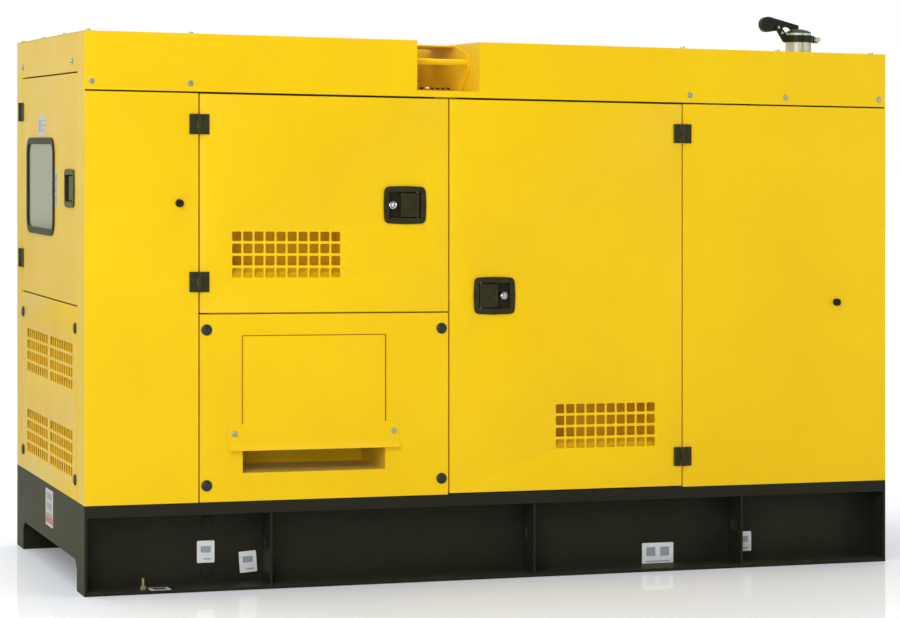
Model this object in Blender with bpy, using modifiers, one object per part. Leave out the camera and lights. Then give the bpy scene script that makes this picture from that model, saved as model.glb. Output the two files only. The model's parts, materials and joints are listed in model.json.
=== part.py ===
"""Sound-proofed diesel generator set: sheet-steel canopy on a welded steel skid.

Metres, +Z up. The origin is the middle of the skid's underside. The control end
faces -X, and the side with two doors and the cable outlet faces -Y.
Run with: blender --background --python part.py
"""
import math

import bmesh
import bpy
from mathutils import Matrix, Vector

# ---- driving dimensions ------------------------------------------------------
LENGTH = 2.200
WIDTH = 0.880
ROOF = 1.375              # top of the canopy
DECK = 0.220              # top of the skid
BAND = 1.230              # lower edge of the roof band

SHEET = 0.002             # canopy sheet thickness
RETURN = 0.020            # depth of a panel's folded edge
SEAM = 0.004              # open joint between neighbouring panels
REST = 0.0003             # gap under a piece that rests on another

POST_SEAM = -0.160        # seam between the two front bays
LEFT_SEAM = -0.814        # hinge seam of the left bay
RIGHT_SEAM = 0.494        # hinge seam of the right bay
SHELF = 0.685             # seam between the left door and the panel under it
CORNER_WRAP = 0.083       # how far a corner panel wraps round the end
DOOR_HINGE = 0.368        # hinge seam of the control door, along Y

LATCH_SIZE = (0.114, 0.097)
LATCH_BOW = 0.0015        # how far a latch plate's sides bow outwards
HINGE_LEAF = 0.025
HINGE_HEIGHT = 0.050
HINGE_OUT = 0.0055        # hinge axis, outside the panel face

GRILLE_COLUMNS = 10
GRILLE_ROWS = 4
GRILLE_HOLE = 0.0235
GRILLE_PITCH = (0.0285, 0.0302)

NOTCH = (-0.245, -0.076)  # the lifting channel across the roof
NOTCH_FLOOR = 1.248
STACK = (0.927, -0.265)   # exhaust outlet, in plan
STACK_RADIUS = 0.035

ROUND_STEPS = 16
BIG_STEPS = 24

HALF_L = LENGTH / 2
HALF_W = WIDTH / 2
SILL = DECK + REST
HEAD = BAND - SEAM / 2


# ---- scene and materials -----------------------------------------------------
def empty_scene():
    """Remove every object, so that only the generator is left."""
    for found in list(bpy.data.objects):
        bpy.data.objects.remove(found, do_unlink=True)


def new_collection(name):
    """Add a collection to the scene."""
    made = bpy.data.collections.new(name)
    bpy.context.scene.collection.children.link(made)
    return made


empty_scene()
PARTS = new_collection("diesel_generator")
TOOLS = new_collection("cutters")


def paint(name, colour, roughness, metallic=0.0):
    """A plain Principled material."""
    made = bpy.data.materials.new(name)
    made.use_nodes = True
    shader = made.node_tree.nodes["Principled BSDF"]
    shader.inputs["Base Color"].default_value = (*colour, 1.0)
    shader.inputs["Roughness"].default_value = roughness
    shader.inputs["Metallic"].default_value = metallic
    return made


YELLOW = paint("canopy_yellow", (0.92, 0.62, 0.012), 0.38)
CHARCOAL = paint("skid_charcoal", (0.020, 0.019, 0.016), 0.55)
BLACK = paint("hardware_black", (0.028, 0.027, 0.022), 0.45)
RUBBER = paint("seal_rubber", (0.018, 0.018, 0.017), 0.75)
GLASS = paint("window_glass", (0.38, 0.41, 0.34), 0.08)
STEEL = paint("bright_steel", (0.62, 0.61, 0.58), 0.30, 1.0)
BRASS = paint("earth_brass", (0.62, 0.46, 0.20), 0.35, 1.0)
ENGINE_GREY = paint("engine_grey", (0.16, 0.17, 0.17), 0.50)
ALTERNATOR_GREY = paint("alternator_grey", (0.10, 0.12, 0.14), 0.45)
SOOT = paint("exhaust_black", (0.04, 0.04, 0.04), 0.65, 0.6)
FIN_BLACK = paint("radiator_black", (0.03, 0.03, 0.032), 0.55, 0.3)
PANEL_GREY = paint("control_grey", (0.42, 0.43, 0.42), 0.40)
STOP_RED = paint("stop_red", (0.60, 0.02, 0.02), 0.35)
BATTERY_BLACK = paint("battery_black", (0.025, 0.025, 0.028), 0.50)


# ---- local frames ------------------------------------------------------------
class Place:
    """An origin and three axes, in which pieces are laid out as spans (a, b, c)."""

    def __init__(self, origin, first, second, third):
        self.origin = Vector(origin)
        self.axes = Matrix((first, second, third)).transposed()

    def at(self, a=0.0, b=0.0, c=0.0):
        """The world matrix of a point in this frame, turned with it."""
        spot = self.origin + self.axes @ Vector((a, b, c))
        return Matrix.Translation(spot) @ self.axes.to_4x4()

    def moved(self, a, b, c=0.0):
        """The same frame with its origin moved."""
        first, second, third = self.axes.transposed()
        return Place(self.at(a, b, c).translation, first, second, third)


# On an upright face, a runs to the right seen from outside, b up and c outwards.
X, Y, Z = Vector((1, 0, 0)), Vector((0, 1, 0)), Vector((0, 0, 1))
WORLD = Place((0, 0, 0), X, Y, Z)
FRONT = Place((0, -HALF_W, 0), X, Z, -Y)
REAR = Place((0, HALF_W, 0), -X, Z, Y)
CONTROL_END = Place((-HALF_L, 0, 0), -Y, Z, -X)
OUTLET_END = Place((HALF_L, 0, 0), Y, Z, X)

# How a shape drawn along its own Z is turned so that it runs along a, b or c.
ALONG = {
    "a": Matrix(((0, 0, 1), (1, 0, 0), (0, 1, 0))),
    "b": Matrix(((1, 0, 0), (0, 0, -1), (0, 1, 0))),
    "c": Matrix.Identity(3),
}


# ---- shapes ------------------------------------------------------------------
def add(name, mesh, matrix, material):
    """Put a mesh in the scene: with a material it is a part, without one a tool."""
    made = bpy.data.objects.new(name, mesh)
    made.matrix_world = matrix
    if material is None:
        TOOLS.objects.link(made)
        made.hide_render = True
        made.display_type = "WIRE"
    else:
        PARTS.objects.link(made)
        mesh.materials.append(material)
    return made


def mesh_from(build, name):
    """Make a mesh with a function that fills a bmesh."""
    work = bmesh.new()
    build(work)
    mesh = bpy.data.meshes.new(name)
    work.to_mesh(mesh)
    work.free()
    return mesh


def middle(span):
    """The middle of a (low, high) span."""
    return (span[0] + span[1]) / 2


def slab(name, place, a, b, c, material=None):
    """A box that fills three spans."""
    size = Vector((a[1] - a[0], b[1] - b[0], c[1] - c[0]))

    def build(work):
        bmesh.ops.create_cube(work, size=1.0)
        bmesh.ops.scale(work, vec=size, verts=work.verts)

    matrix = place.at(middle(a), middle(b), middle(c))
    return add(name, mesh_from(build, name), matrix, material)


def slab_row(name, place, spans, material=None):
    """Several separate boxes in one mesh, for a cutter with many holes."""

    def build(work):
        for a, b, c in spans:
            cube = bmesh.ops.create_cube(work, size=1.0)["verts"]
            size = (a[1] - a[0], b[1] - b[0], c[1] - c[0])
            bmesh.ops.scale(work, vec=size, verts=cube)
            bmesh.ops.translate(work, vec=(middle(a), middle(b), middle(c)), verts=cube)

    return add(name, mesh_from(build, name), place.at(), material)


def rod(name, place, centre, radius, span, along="c", material=None, steps=ROUND_STEPS,
        end_radius=None):
    """A cylinder or cone along one axis; centre gives the other two coordinates."""
    turn = ALONG[along]

    def build(work):
        bmesh.ops.create_cone(
            work, cap_ends=True, segments=steps, radius1=radius,
            radius2=radius if end_radius is None else end_radius,
            depth=span[1] - span[0], matrix=turn.to_4x4(),
        )

    spot = turn @ Vector((centre[0], centre[1], 0.0))
    spot += Vector([middle(span) if axis == along else 0.0 for axis in "abc"])
    made = add(name, mesh_from(build, name), place.at(*spot), material)
    made.data.shade_smooth()
    made.data.set_sharp_from_angle(angle=math.radians(40))
    return made


def plate(name, place, outline, span, along="c", material=None, holes=()):
    """A flat outline given thickness along one axis, with any holes in it."""
    curve = bpy.data.curves.new(name, "CURVE")
    curve.dimensions = "2D"
    curve.fill_mode = "BOTH"
    curve.extrude = (span[1] - span[0]) / 2
    for loop in (outline, *holes):
        spline = curve.splines.new("POLY")
        spline.points.add(len(loop) - 1)
        for point, (first, second) in zip(spline.points, loop):
            point.co = (first, second, 0.0, 1.0)
        spline.use_cyclic_u = True
    drawn = bpy.data.objects.new(name + "_outline", curve)
    TOOLS.objects.link(drawn)
    graph = bpy.context.evaluated_depsgraph_get()
    mesh = bpy.data.meshes.new_from_object(drawn.evaluated_get(graph))
    bpy.data.objects.remove(drawn, do_unlink=True)

    work = bmesh.new()
    work.from_mesh(mesh)
    bmesh.ops.remove_doubles(work, verts=work.verts, dist=0.00001)
    bmesh.ops.recalc_face_normals(work, faces=work.faces)
    bmesh.ops.transform(work, matrix=ALONG[along].to_4x4(), verts=work.verts)
    work.to_mesh(mesh)
    work.free()
    offset = [middle(span) if axis == along else 0.0 for axis in "abc"]
    return add(name, mesh, place.at(*offset), material)


def tray(name, place, a, b, depth=RETURN, material=YELLOW, face=0.0):
    """A folded sheet panel: a face with a return along each edge, open at the back."""

    def build(work):
        bmesh.ops.create_cube(work, size=1.0)
        bmesh.ops.scale(work, vec=(a[1] - a[0], b[1] - b[0], depth), verts=work.verts)
        work.faces.ensure_lookup_table()
        back = min(work.faces, key=lambda side: side.calc_center_median().z)
        bmesh.ops.delete(work, geom=[back], context="FACES_ONLY")

    matrix = place.at(middle(a), middle(b), face - depth / 2)
    made = add(name, mesh_from(build, name), matrix, material)
    skin = made.modifiers.new("sheet", "SOLIDIFY")
    skin.thickness = SHEET
    skin.offset = -1.0
    skin.use_even_offset = True
    return made


def turned(name, place, profile, material=None, along="c", steps=BIG_STEPS):
    """A turned piece; profile is (radius, height) down its outer side, about the axis."""

    def build(work):
        points = [work.verts.new((radius, 0.0, height)) for radius, height in profile]
        for first, second in zip(points, points[1:]):
            work.edges.new((first, second))

    made = add(name, mesh_from(build, name), place.at() @ ALONG[along].to_4x4(), material)
    spin = made.modifiers.new("turn", "SCREW")
    spin.steps = steps
    spin.render_steps = steps
    spin.use_merge_vertices = True
    spin.merge_threshold = 0.00001
    return made


def tube(name, points, radius, material=None):
    """A bent pipe through world points, as a mesh."""
    curve = bpy.data.curves.new(name, "CURVE")
    curve.dimensions = "3D"
    curve.bevel_depth = radius
    curve.bevel_resolution = 2
    curve.use_fill_caps = True
    spline = curve.splines.new("POLY")
    spline.points.add(len(points) - 1)
    for point, spot in zip(spline.points, points):
        point.co = (*spot, 1.0)
    drawn = bpy.data.objects.new(name + "_path", curve)
    TOOLS.objects.link(drawn)
    graph = bpy.context.evaluated_depsgraph_get()
    mesh = bpy.data.meshes.new_from_object(drawn.evaluated_get(graph))
    bpy.data.objects.remove(drawn, do_unlink=True)
    work = bmesh.new()
    work.from_mesh(mesh)
    bmesh.ops.remove_doubles(work, verts=work.verts, dist=0.00001)
    bmesh.ops.recalc_face_normals(work, faces=work.faces)
    work.to_mesh(mesh)
    work.free()
    mesh.shade_smooth()
    mesh.set_sharp_from_angle(angle=math.radians(50))
    return add(name, mesh, Matrix.Identity(4), material)


def combine(body, operation, tools):
    """Add one Boolean modifier for each tool."""
    for tool in tools:
        step = body.modifiers.new(tool.name, "BOOLEAN")
        step.operation = operation
        step.solver = "EXACT"
        step.object = tool
    return body


def join(body, *tools):
    """Weld tools onto a body."""
    return combine(body, "UNION", tools)


def cut(body, *tools):
    """Cut tools out of a body."""
    return combine(body, "DIFFERENCE", tools)


def soften(body, width, segments=1):
    """Break a body's edges."""
    edge = body.modifiers.new("edges", "BEVEL")
    edge.width = width
    edge.segments = segments
    edge.limit_method = "ANGLE"
    return body


def pivot(name, place):
    """An empty on a joint's axis."""
    made = bpy.data.objects.new(name, None)
    made.matrix_world = place.at()
    made.empty_display_size = 0.05
    PARTS.objects.link(made)
    return made


def hang(parent, *children):
    """Parent pieces to a pivot and keep them where they are."""
    bpy.context.view_layer.update()
    for child in children:
        child.parent = parent
        child.matrix_parent_inverse = parent.matrix_world.inverted()


def rounded(a, b, radius, steps=3):
    """A rectangle's outline with round corners."""
    points = []
    corners = ((a[1], b[1], 0), (a[0], b[1], 90), (a[0], b[0], 180), (a[1], b[0], 270))
    for corner_a, corner_b, start in corners:
        inward_a = -radius if corner_a == a[1] else radius
        inward_b = -radius if corner_b == b[1] else radius
        for step in range(steps + 1):
            angle = math.radians(start + 90 * step / steps)
            points.append((corner_a + inward_a + radius * math.cos(angle),
                           corner_b + inward_b + radius * math.sin(angle)))
    return points


def cushion(size, radius, bow):
    """The outline of a round-cornered plate whose four sides bow outwards."""
    half_a, half_b = size[0] / 2, size[1] / 2
    corners = rounded((bow - half_a, half_a - bow), (bow - half_b, half_b - bow), radius)
    count = len(corners) // 4
    middles = ((0, half_b), (-half_a, 0), (0, -half_b), (half_a, 0))
    outline = []
    for side, spot in enumerate(middles):
        outline += corners[side * count:(side + 1) * count]
        outline.append(spot)
    return outline


def ring_of(centre, radius, steps=ROUND_STEPS):
    """A circle's outline."""
    return [
        (centre[0] + radius * math.cos(math.tau * step / steps),
         centre[1] + radius * math.sin(math.tau * step / steps))
        for step in range(steps)
    ]


def around(centre, size):
    """The span of a given size about its centre."""
    return (centre - size / 2, centre + size / 2)


# ---- skid --------------------------------------------------------------------
RAIL_SETBACK = 0.085      # web behind the face of the skid
RAIL_WALL = 0.004
LIP = 0.030
FLANGE = 0.008
END_PLATE = 0.007
GUSSETS = (-0.629, 0.076, 0.669)
GUSSET_WALL = 0.006
GUSSET_HOLE = 0.017
BEAMS = (-0.640, 0.100, 0.560)
BEAM_WIDTH = 0.060
BEAM_UNDER = 0.120
LEG = 0.090
ARCH = 0.076
ARCH_CORNER = 0.020
TANK_FLOOR = 0.014
TANK_HALF_WIDTH = 0.330
FILLER = (0.030, -0.290)  # filler neck, in plan
FILLER_TOP = 0.340


def rail(name, side, material):
    """One long rail: a lip, a set-back web and a bottom flange, open to the outside."""
    def y(depth):
        return side * (HALF_W - depth)

    back = RAIL_SETBACK + RAIL_WALL
    outline = [
        (y(0), DECK), (y(0), DECK - LIP), (y(RAIL_WALL), DECK - LIP),
        (y(RAIL_WALL), DECK - RAIL_WALL), (y(RAIL_SETBACK), DECK - RAIL_WALL),
        (y(RAIL_SETBACK), FLANGE), (y(0), FLANGE), (y(0), 0), (y(back), 0),
        (y(back), DECK),
    ]
    half = HALF_L - END_PLATE / 2
    return plate(name, WORLD, outline, (-half, half), "a", material)


def gusset(name, side, x):
    """A web stiffener between lip and flange, with a lightening hole."""
    inset = 0.002
    low, high = sorted((side * (HALF_W - inset), side * (HALF_W - RAIL_SETBACK - inset)))
    outline = [(low, FLANGE / 2), (high, FLANGE / 2), (high, DECK - RAIL_WALL / 2),
               (low, DECK - RAIL_WALL / 2)]
    hole = ring_of(((low + high) / 2, DECK / 2), GUSSET_HOLE, 12)
    return plate(name, WORLD, outline, around(x, GUSSET_WALL), "a", holes=[hole])


def end_plate(name, x):
    """The plate across one end of the skid, arched between two legs."""
    leg = HALF_W - LEG
    arch = leg - ARCH_CORNER
    outline = [
        (-HALF_W, 0), (-leg, 0), (-leg, ARCH - ARCH_CORNER), (-arch, ARCH), (arch, ARCH),
        (leg, ARCH - ARCH_CORNER), (leg, 0), (HALF_W, 0), (HALF_W, DECK), (-HALF_W, DECK),
    ]
    return plate(name, WORLD, outline, (x, x + END_PLATE), "a")


def make_skid():
    """The welded base frame."""
    frame = rail("skid_frame", -1, CHARCOAL)
    inner = HALF_W - RAIL_SETBACK - RAIL_WALL / 2
    tools = [rail("rear_rail", 1, None)]
    tools.append(end_plate("left_end_plate", -HALF_L))
    tools.append(end_plate("right_end_plate", HALF_L - END_PLATE))
    for number, x in enumerate(GUSSETS):
        for side in (-1, 1):
            tools.append(gusset(f"gusset_{number}_{side}", side, x))
    for number, x in enumerate(BEAMS):
        tools.append(slab(f"cross_beam_{number}", WORLD, around(x, BEAM_WIDTH),
                          (-inner, inner), (BEAM_UNDER, DECK - 0.002)))
    return join(frame, *tools)


def make_fuel_tank():
    """The base tank between the beams, with a filler neck behind the right door."""
    gap = 0.006
    first = BEAMS[0] + BEAM_WIDTH / 2 + gap
    last = BEAMS[1] - BEAM_WIDTH / 2 - gap
    top = DECK - 0.020
    tank = slab("fuel_tank", WORLD, (first, last), (-TANK_HALF_WIDTH, TANK_HALF_WIDTH),
                (TANK_FLOOR, top), CHARCOAL)
    soften(tank, 0.008)
    neck = rod("filler_neck", WORLD, FILLER, 0.026, (top - 0.010, FILLER_TOP))
    return join(tank, neck)


def make_fuel_cap():
    """The cap that turns on the filler neck."""
    place = WORLD.moved(*FILLER, FILLER_TOP + REST)
    profile = [(0.0, 0.020), (0.028, 0.020), (0.033, 0.016), (0.033, 0.0), (0.0, 0.0)]
    cap = turned("fuel_cap", place, profile, BLACK, steps=ROUND_STEPS)
    wing = slab("cap_wing", place, (-0.026, 0.026), (-0.004, 0.004), (0.015, 0.032))
    join(cap, wing)
    hang(pivot("fuel_cap_axis", place), cap)


def make_earth_terminal():
    """A brass stud and nut on the bottom flange."""
    place = WORLD.moved(-0.950, -HALF_W + 0.023, FLANGE + REST)
    nut = rod("earth_terminal", place, (0, 0), 0.008, (0, 0.009), "c", BRASS, 6)
    stud = rod("earth_stud", place, (0, 0), 0.004, (0.004, 0.028), steps=10)
    join(nut, stud)


# ---- canopy panels -----------------------------------------------------------
def corner_panel(name, x_side, y_side, seam, wrap_width=CORNER_WRAP):
    """A corner panel: its face runs to a seam, and it wraps round the end."""
    end = x_side * HALF_L
    face = y_side * HALF_W
    in_x = -x_side
    in_y = -y_side
    wrap = face + in_y * wrap_width
    outline = [
        (end, face), (seam, face), (seam, face + in_y * RETURN),
        (seam - in_x * SHEET, face + in_y * RETURN), (seam - in_x * SHEET, face + in_y * SHEET),
        (end + in_x * SHEET, face + in_y * SHEET), (end + in_x * SHEET, wrap - in_y * SHEET),
        (end + in_x * RETURN, wrap - in_y * SHEET), (end + in_x * RETURN, wrap), (end, wrap),
    ]
    top = ROOF - SHEET - REST
    panel = plate(name, WORLD, outline, (SILL, top), "c", YELLOW)
    x = sorted((end - in_x * 0.01, seam + in_x * 0.01))
    y = sorted((face - in_y * 0.01, face + in_y * (SHEET + REST)))
    above = slab(name + "_band_cutter", WORLD, x, y, (HEAD, top + 0.01))
    lower = sorted((end + in_x * (SHEET + REST), seam + in_x * 0.01))
    deep = sorted((face - in_y * 0.01, face + in_y * (RETURN + REST)))
    behind = slab(name + "_return_cutter", WORLD, lower, deep, (HEAD, top + 0.01))
    return cut(panel, above, behind)


def make_corners():
    """The four corner panels."""
    left = LEFT_SEAM - SEAM / 2
    right = RIGHT_SEAM + SEAM / 2
    corner_panel("corner_panel_front_left", -1, -1, left)
    corner_panel("corner_panel_front_right", 1, -1, right)
    corner_panel("corner_panel_rear_left", -1, 1, left, HALF_W - DOOR_HINGE - SEAM / 2)
    corner_panel("corner_panel_rear_right", 1, 1, right)


def notch_profile(inset, low, reach):
    """The canopy's long section: a rectangle with the lifting channel let into its top."""
    left, right = NOTCH
    top = ROOF - inset
    floor = NOTCH_FLOOR - inset
    return [
        (-reach, low), (reach, low), (reach, top), (right + inset, top),
        (right + inset, floor), (left - inset, floor), (left - inset, top), (-reach, top),
    ]


STUDS = (-0.200, 0.200)   # where the lifting eye is bolted through the channel floor
STUD = 0.007


def make_roof():
    """The roof sheet with a band down each long side and the lifting channel."""
    outer = notch_profile(0.0, BAND + SEAM / 2, HALF_L)
    inner = notch_profile(SHEET, BAND - 0.020, HALF_L + 0.020)
    roof = plate("roof_cover", WORLD, outer, (-HALF_W, HALF_W), "b", YELLOW)
    hollow = plate("roof_hollow", WORLD, inner, (-HALF_W + SHEET, HALF_W - SHEET), "b")
    outlet = rod("stack_hole", WORLD, STACK, STACK_RADIUS + 0.006, (ROOF - 0.02, ROOF + 0.02))
    studs = [rod(f"stud_hole_{y}", WORLD, (POST_SEAM, y), STUD + 0.001,
                 (NOTCH_FLOOR - 0.02, NOTCH_FLOOR + 0.02), steps=12) for y in STUDS]
    return cut(roof, hollow, outlet, *studs)


POST = (0.060, 0.030)     # width and depth of a canopy post
POST_INSET = 0.024        # post behind the long face
FRAME_TOP = NOTCH_FLOOR - SHEET - REST
LIFT_BAR = 0.008          # radius of a lifting bar
LIFT_DEPTH = 0.090        # bar behind the long face
LIFT_HEIGHT = 1.325
BRIDGE = (0.176, 0.365)   # bridge plate, as depths behind the long face
CHEEK = 0.004


def lifting_cheek(name, x):
    """One upright plate along a channel wall, which holds the bars and bridges."""
    low = NOTCH_FLOOR + REST
    top = ROOF - SHEET
    front = HALF_W - LIFT_DEPTH
    outline = [
        (-front - 0.016, LIFT_HEIGHT - 0.020), (-front + 0.040, low), (front - 0.040, low),
        (front + 0.016, LIFT_HEIGHT - 0.020), (front + 0.016, LIFT_HEIGHT + 0.018),
        (HALF_W - BRIDGE[0], top), (-HALF_W + BRIDGE[0], top),
        (-front - 0.016, LIFT_HEIGHT + 0.018),
    ]
    return plate(name, WORLD, outline, (x, x + CHEEK), "a")


def lifting_eye():
    """The eye in the channel: base, two cheeks, a bar and a bridge at each side."""
    left, right = NOTCH
    tools = [lifting_cheek("left_cheek", left + REST),
             lifting_cheek("right_cheek", right - REST - CHEEK)]
    inside = (left + REST + CHEEK / 2, right - REST - CHEEK / 2)
    front = HALF_W - LIFT_DEPTH
    tools.append(slab("eye_base", WORLD, inside, (-0.300, 0.300),
                      (NOTCH_FLOOR + 2 * REST, NOTCH_FLOOR + 0.004)))
    for side in (-1, 1):
        tools.append(rod(f"lift_bar_{side}", WORLD, (side * front, LIFT_HEIGHT), LIFT_BAR,
                         inside, "a", steps=BIG_STEPS))
        span = sorted((side * (HALF_W - BRIDGE[0]), side * (HALF_W - BRIDGE[1])))
        tools.append(slab(f"bridge_{side}", WORLD, inside, span,
                          (ROOF - 0.0075, ROOF - 0.0035)))
    tools.append(slab("channel_wall", WORLD, inside, (-0.002, 0.002),
                      (NOTCH_FLOOR + 0.001, ROOF - 0.012)))
    for y in STUDS:
        tools.append(rod(f"eye_stud_{y}", WORLD, (POST_SEAM, y), STUD,
                         (FRAME_TOP - 0.010, NOTCH_FLOOR + 0.012), steps=12))
    return tools


def make_lifting_frame():
    """Posts and rails on the skid, and the lifting eye bolted through the roof channel."""
    x = around(POST_SEAM, POST[0])
    depth = (HALF_W - POST_INSET - POST[1], HALF_W - POST_INSET)
    frame = slab("lifting_frame", WORLD, x, (-depth[1], -depth[0]), (SILL, FRAME_TOP), YELLOW)
    tools = [slab("rear_post", WORLD, x, depth, (SILL, FRAME_TOP))]
    tools.append(slab("top_rail", WORLD, x, (-depth[1] + 0.01, depth[1] - 0.01),
                      (FRAME_TOP - 0.050, FRAME_TOP - 0.001)))
    tools.append(slab("shelf_rail", WORLD, (LEFT_SEAM + 0.030, POST_SEAM),
                      (-depth[1] + 0.001, -depth[0] - 0.001), around(SHELF, 0.030)))
    return join(frame, *tools, *lifting_eye())


def grille_cutter(name, place, centre):
    """A grid of square air holes."""
    spans = []
    for column in range(GRILLE_COLUMNS):
        for row in range(GRILLE_ROWS):
            a = centre[0] + (column - (GRILLE_COLUMNS - 1) / 2) * GRILLE_PITCH[0]
            b = centre[1] + (row - (GRILLE_ROWS - 1) / 2) * GRILLE_PITCH[1]
            spans.append((around(a, GRILLE_HOLE), around(b, GRILLE_HOLE), (-0.010, 0.010)))
    return slab_row(name, place, spans)


CONTROL_DOOR_B = (0.702, 1.2735)
VENT_GROUPS = [(a, b) for a in (-0.155, 0.157) for b in (0.331, 0.547)]
OUTLET_OPENING = ((-0.270, 0.270), (0.330, 1.050))
OUTLET_BLADES = 12
BLADE_DEPTH = 0.030


def make_end_panels():
    """The fixed panels of both ends."""
    reach = HALF_W - CORNER_WRAP - SEAM
    across = (SEAM / 2 - DOOR_HINGE, reach)
    top = ROOF - SHEET - REST
    tray("end_top_panel", CONTROL_END, across, (CONTROL_DOOR_B[1] + SEAM, top))

    vent = tray("end_vent_panel", CONTROL_END, across, (SILL, CONTROL_DOOR_B[0] - SEAM))
    cutters = [grille_cutter(f"vent_{number}", CONTROL_END, spot)
               for number, spot in enumerate(VENT_GROUPS)]
    cut(vent, *cutters)

    outlet = tray("outlet_end_panel", OUTLET_END, (-reach, reach), (SILL, top))
    a, b = OUTLET_OPENING
    cut(outlet, slab("outlet_opening", OUTLET_END, a, b, (-0.010, 0.010)))
    pitch = (b[1] - b[0]) / OUTLET_BLADES
    for number in range(OUTLET_BLADES):
        low = b[0] + number * pitch - SHEET
        high = b[0] + (number + 0.8) * pitch
        outline = [(low, -0.0005), (low, 0.0015), (high, -BLADE_DEPTH),
                   (high, -BLADE_DEPTH - SHEET)]
        blade = plate(f"outlet_blade_{number}", OUTLET_END, outline,
                      (a[0] - 0.001, a[1] + 0.001), "a")
        join(outlet, blade)


def make_rear_side_panel():
    """The fixed panel of the rear bay."""
    a = (-POST_SEAM + SEAM / 2, -LEFT_SEAM - SEAM / 2)
    tray("rear_side_panel", REAR, a, (SILL, HEAD))


SLOT = ((-0.703, -0.331), (0.290, 0.347))
DUCT_DEPTH = 0.200
DUCT_TOP = 0.460


def make_service_panel():
    """The panel under the left door, with the cable slot and its tray-shaped duct."""
    a = (LEFT_SEAM + SEAM / 2, POST_SEAM - SEAM / 2)
    panel = tray("service_panel", FRONT, a, (SILL, SHELF - SEAM / 2))
    wall = SHEET
    slot_a, slot_b = SLOT
    outer_a = (slot_a[0] - wall, slot_a[1] + wall)
    duct = slab("duct_outside", FRONT, outer_a, (slot_b[0] - wall, DUCT_TOP),
                (-DUCT_DEPTH, -SHEET / 2))
    inside = slab("duct_inside", FRONT, slot_a, (slot_b[0], DUCT_TOP + 0.010),
                  (-DUCT_DEPTH + wall, -SHEET))
    slot = slab("cable_slot", FRONT, slot_a, slot_b, (-0.010, 0.010))
    join(panel, duct)
    cut(panel, inside, slot)


def make_cable_cover():
    """The bolted cover over the cable box, with ears and a rain lip."""
    narrow = (-0.703, -0.332)
    wide = (-0.741, -0.294)
    low, shoulder, top = 0.360, 0.411, 0.629
    lip = 0.013
    outline = [(wide[0], low), (wide[1], low), (wide[1], shoulder), (narrow[1], shoulder),
               (narrow[1], top), (narrow[0], top), (narrow[0], shoulder), (wide[0], shoulder)]
    cover = plate("cable_cover", FRONT, outline, (REST, REST + SHEET), "c", YELLOW)
    fold = [(low + 0.001, REST), (low + 0.001, REST + SHEET), (low, REST + SHEET + 0.001),
            (low - lip, REST + SHEET + lip), (low - lip - 0.0015, REST + SHEET + lip - 0.0015),
            (low - 0.003, REST)]
    join(cover, plate("cover_lip", FRONT, fold, wide, "a"))


# ---- hinges and latches ------------------------------------------------------
KNUCKLE = 0.005
PIN = 0.0022
PIN_BORE = 0.0027
LEAF_FACE = 0.0035
KNUCKLE_GAP = 0.0006
WRAP = 0.006


def hinge(name, place, toward, door_pivot):
    """One hinge on its axis; the door is on the side that toward points to."""
    third = HINGE_HEIGHT / 3
    half = HINGE_HEIGHT / 2
    steps = 12

    def across(near, far):
        return tuple(sorted((near, far)))

    side = -toward
    fixed = slab(name + "_fixed_leaf", place, across(side * HINGE_LEAF, side * WRAP * 0.97),
                 (-half, half), (REST, LEAF_FACE), BLACK)
    tools = []
    for end, low in (("low", -half), ("high", half - third + KNUCKLE_GAP)):
        span = (low, low + third - KNUCKLE_GAP)
        tools.append(slab(f"{name}_{end}_wrap", place, across(side * WRAP, 0.0), span,
                          (REST * 2, HINGE_OUT)))
        tools.append(rod(f"{name}_{end}_knuckle", place, (0, HINGE_OUT), KNUCKLE, span, "b",
                         steps=steps))
    tools.append(rod(name + "_pin", place, (0, HINGE_OUT), PIN, (-half + 0.001, half - 0.001),
                     "b", steps=steps))
    join(fixed, *tools)

    span = (-half + third, half - third)
    moving = slab(name + "_door_leaf", place, across(toward * WRAP * 0.97, toward * HINGE_LEAF),
                  (-half, half), (REST, LEAF_FACE), BLACK)
    wrap = slab(name + "_door_wrap", place, across(0.0, toward * WRAP), span,
                (REST * 2, HINGE_OUT))
    knuckle = rod(name + "_door_knuckle", place, (0, HINGE_OUT), KNUCKLE, span, "b", steps=steps)
    bore = rod(name + "_bore", place, (0, HINGE_OUT), PIN_BORE, (-half, half), "b", steps=steps)
    join(moving, wrap, knuckle)
    cut(moving, bore)
    hang(door_pivot, moving)


BODY_SIZE = (0.098, 0.080)
WELL_SIZE = (0.086, 0.067)
WELL_DEPTH = 0.019
LOCK_AT = -0.030
LOCK_RADIUS = 0.0068
PADDLE = (-0.010, 0.0395)
PADDLE_HEIGHT = 0.061
PADDLE_DEPTH = (-0.0035, 0.0015)  # the paddle stands a little proud of the door
PADDLE_AXIS = 0.036


def latch_opening(name, place):
    """The cutter for a latch's opening in a door."""
    spare = 0.0006
    return slab(name, place, around(0, BODY_SIZE[0] + spare), around(0, BODY_SIZE[1] + spare),
                (-0.010, 0.010))


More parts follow.
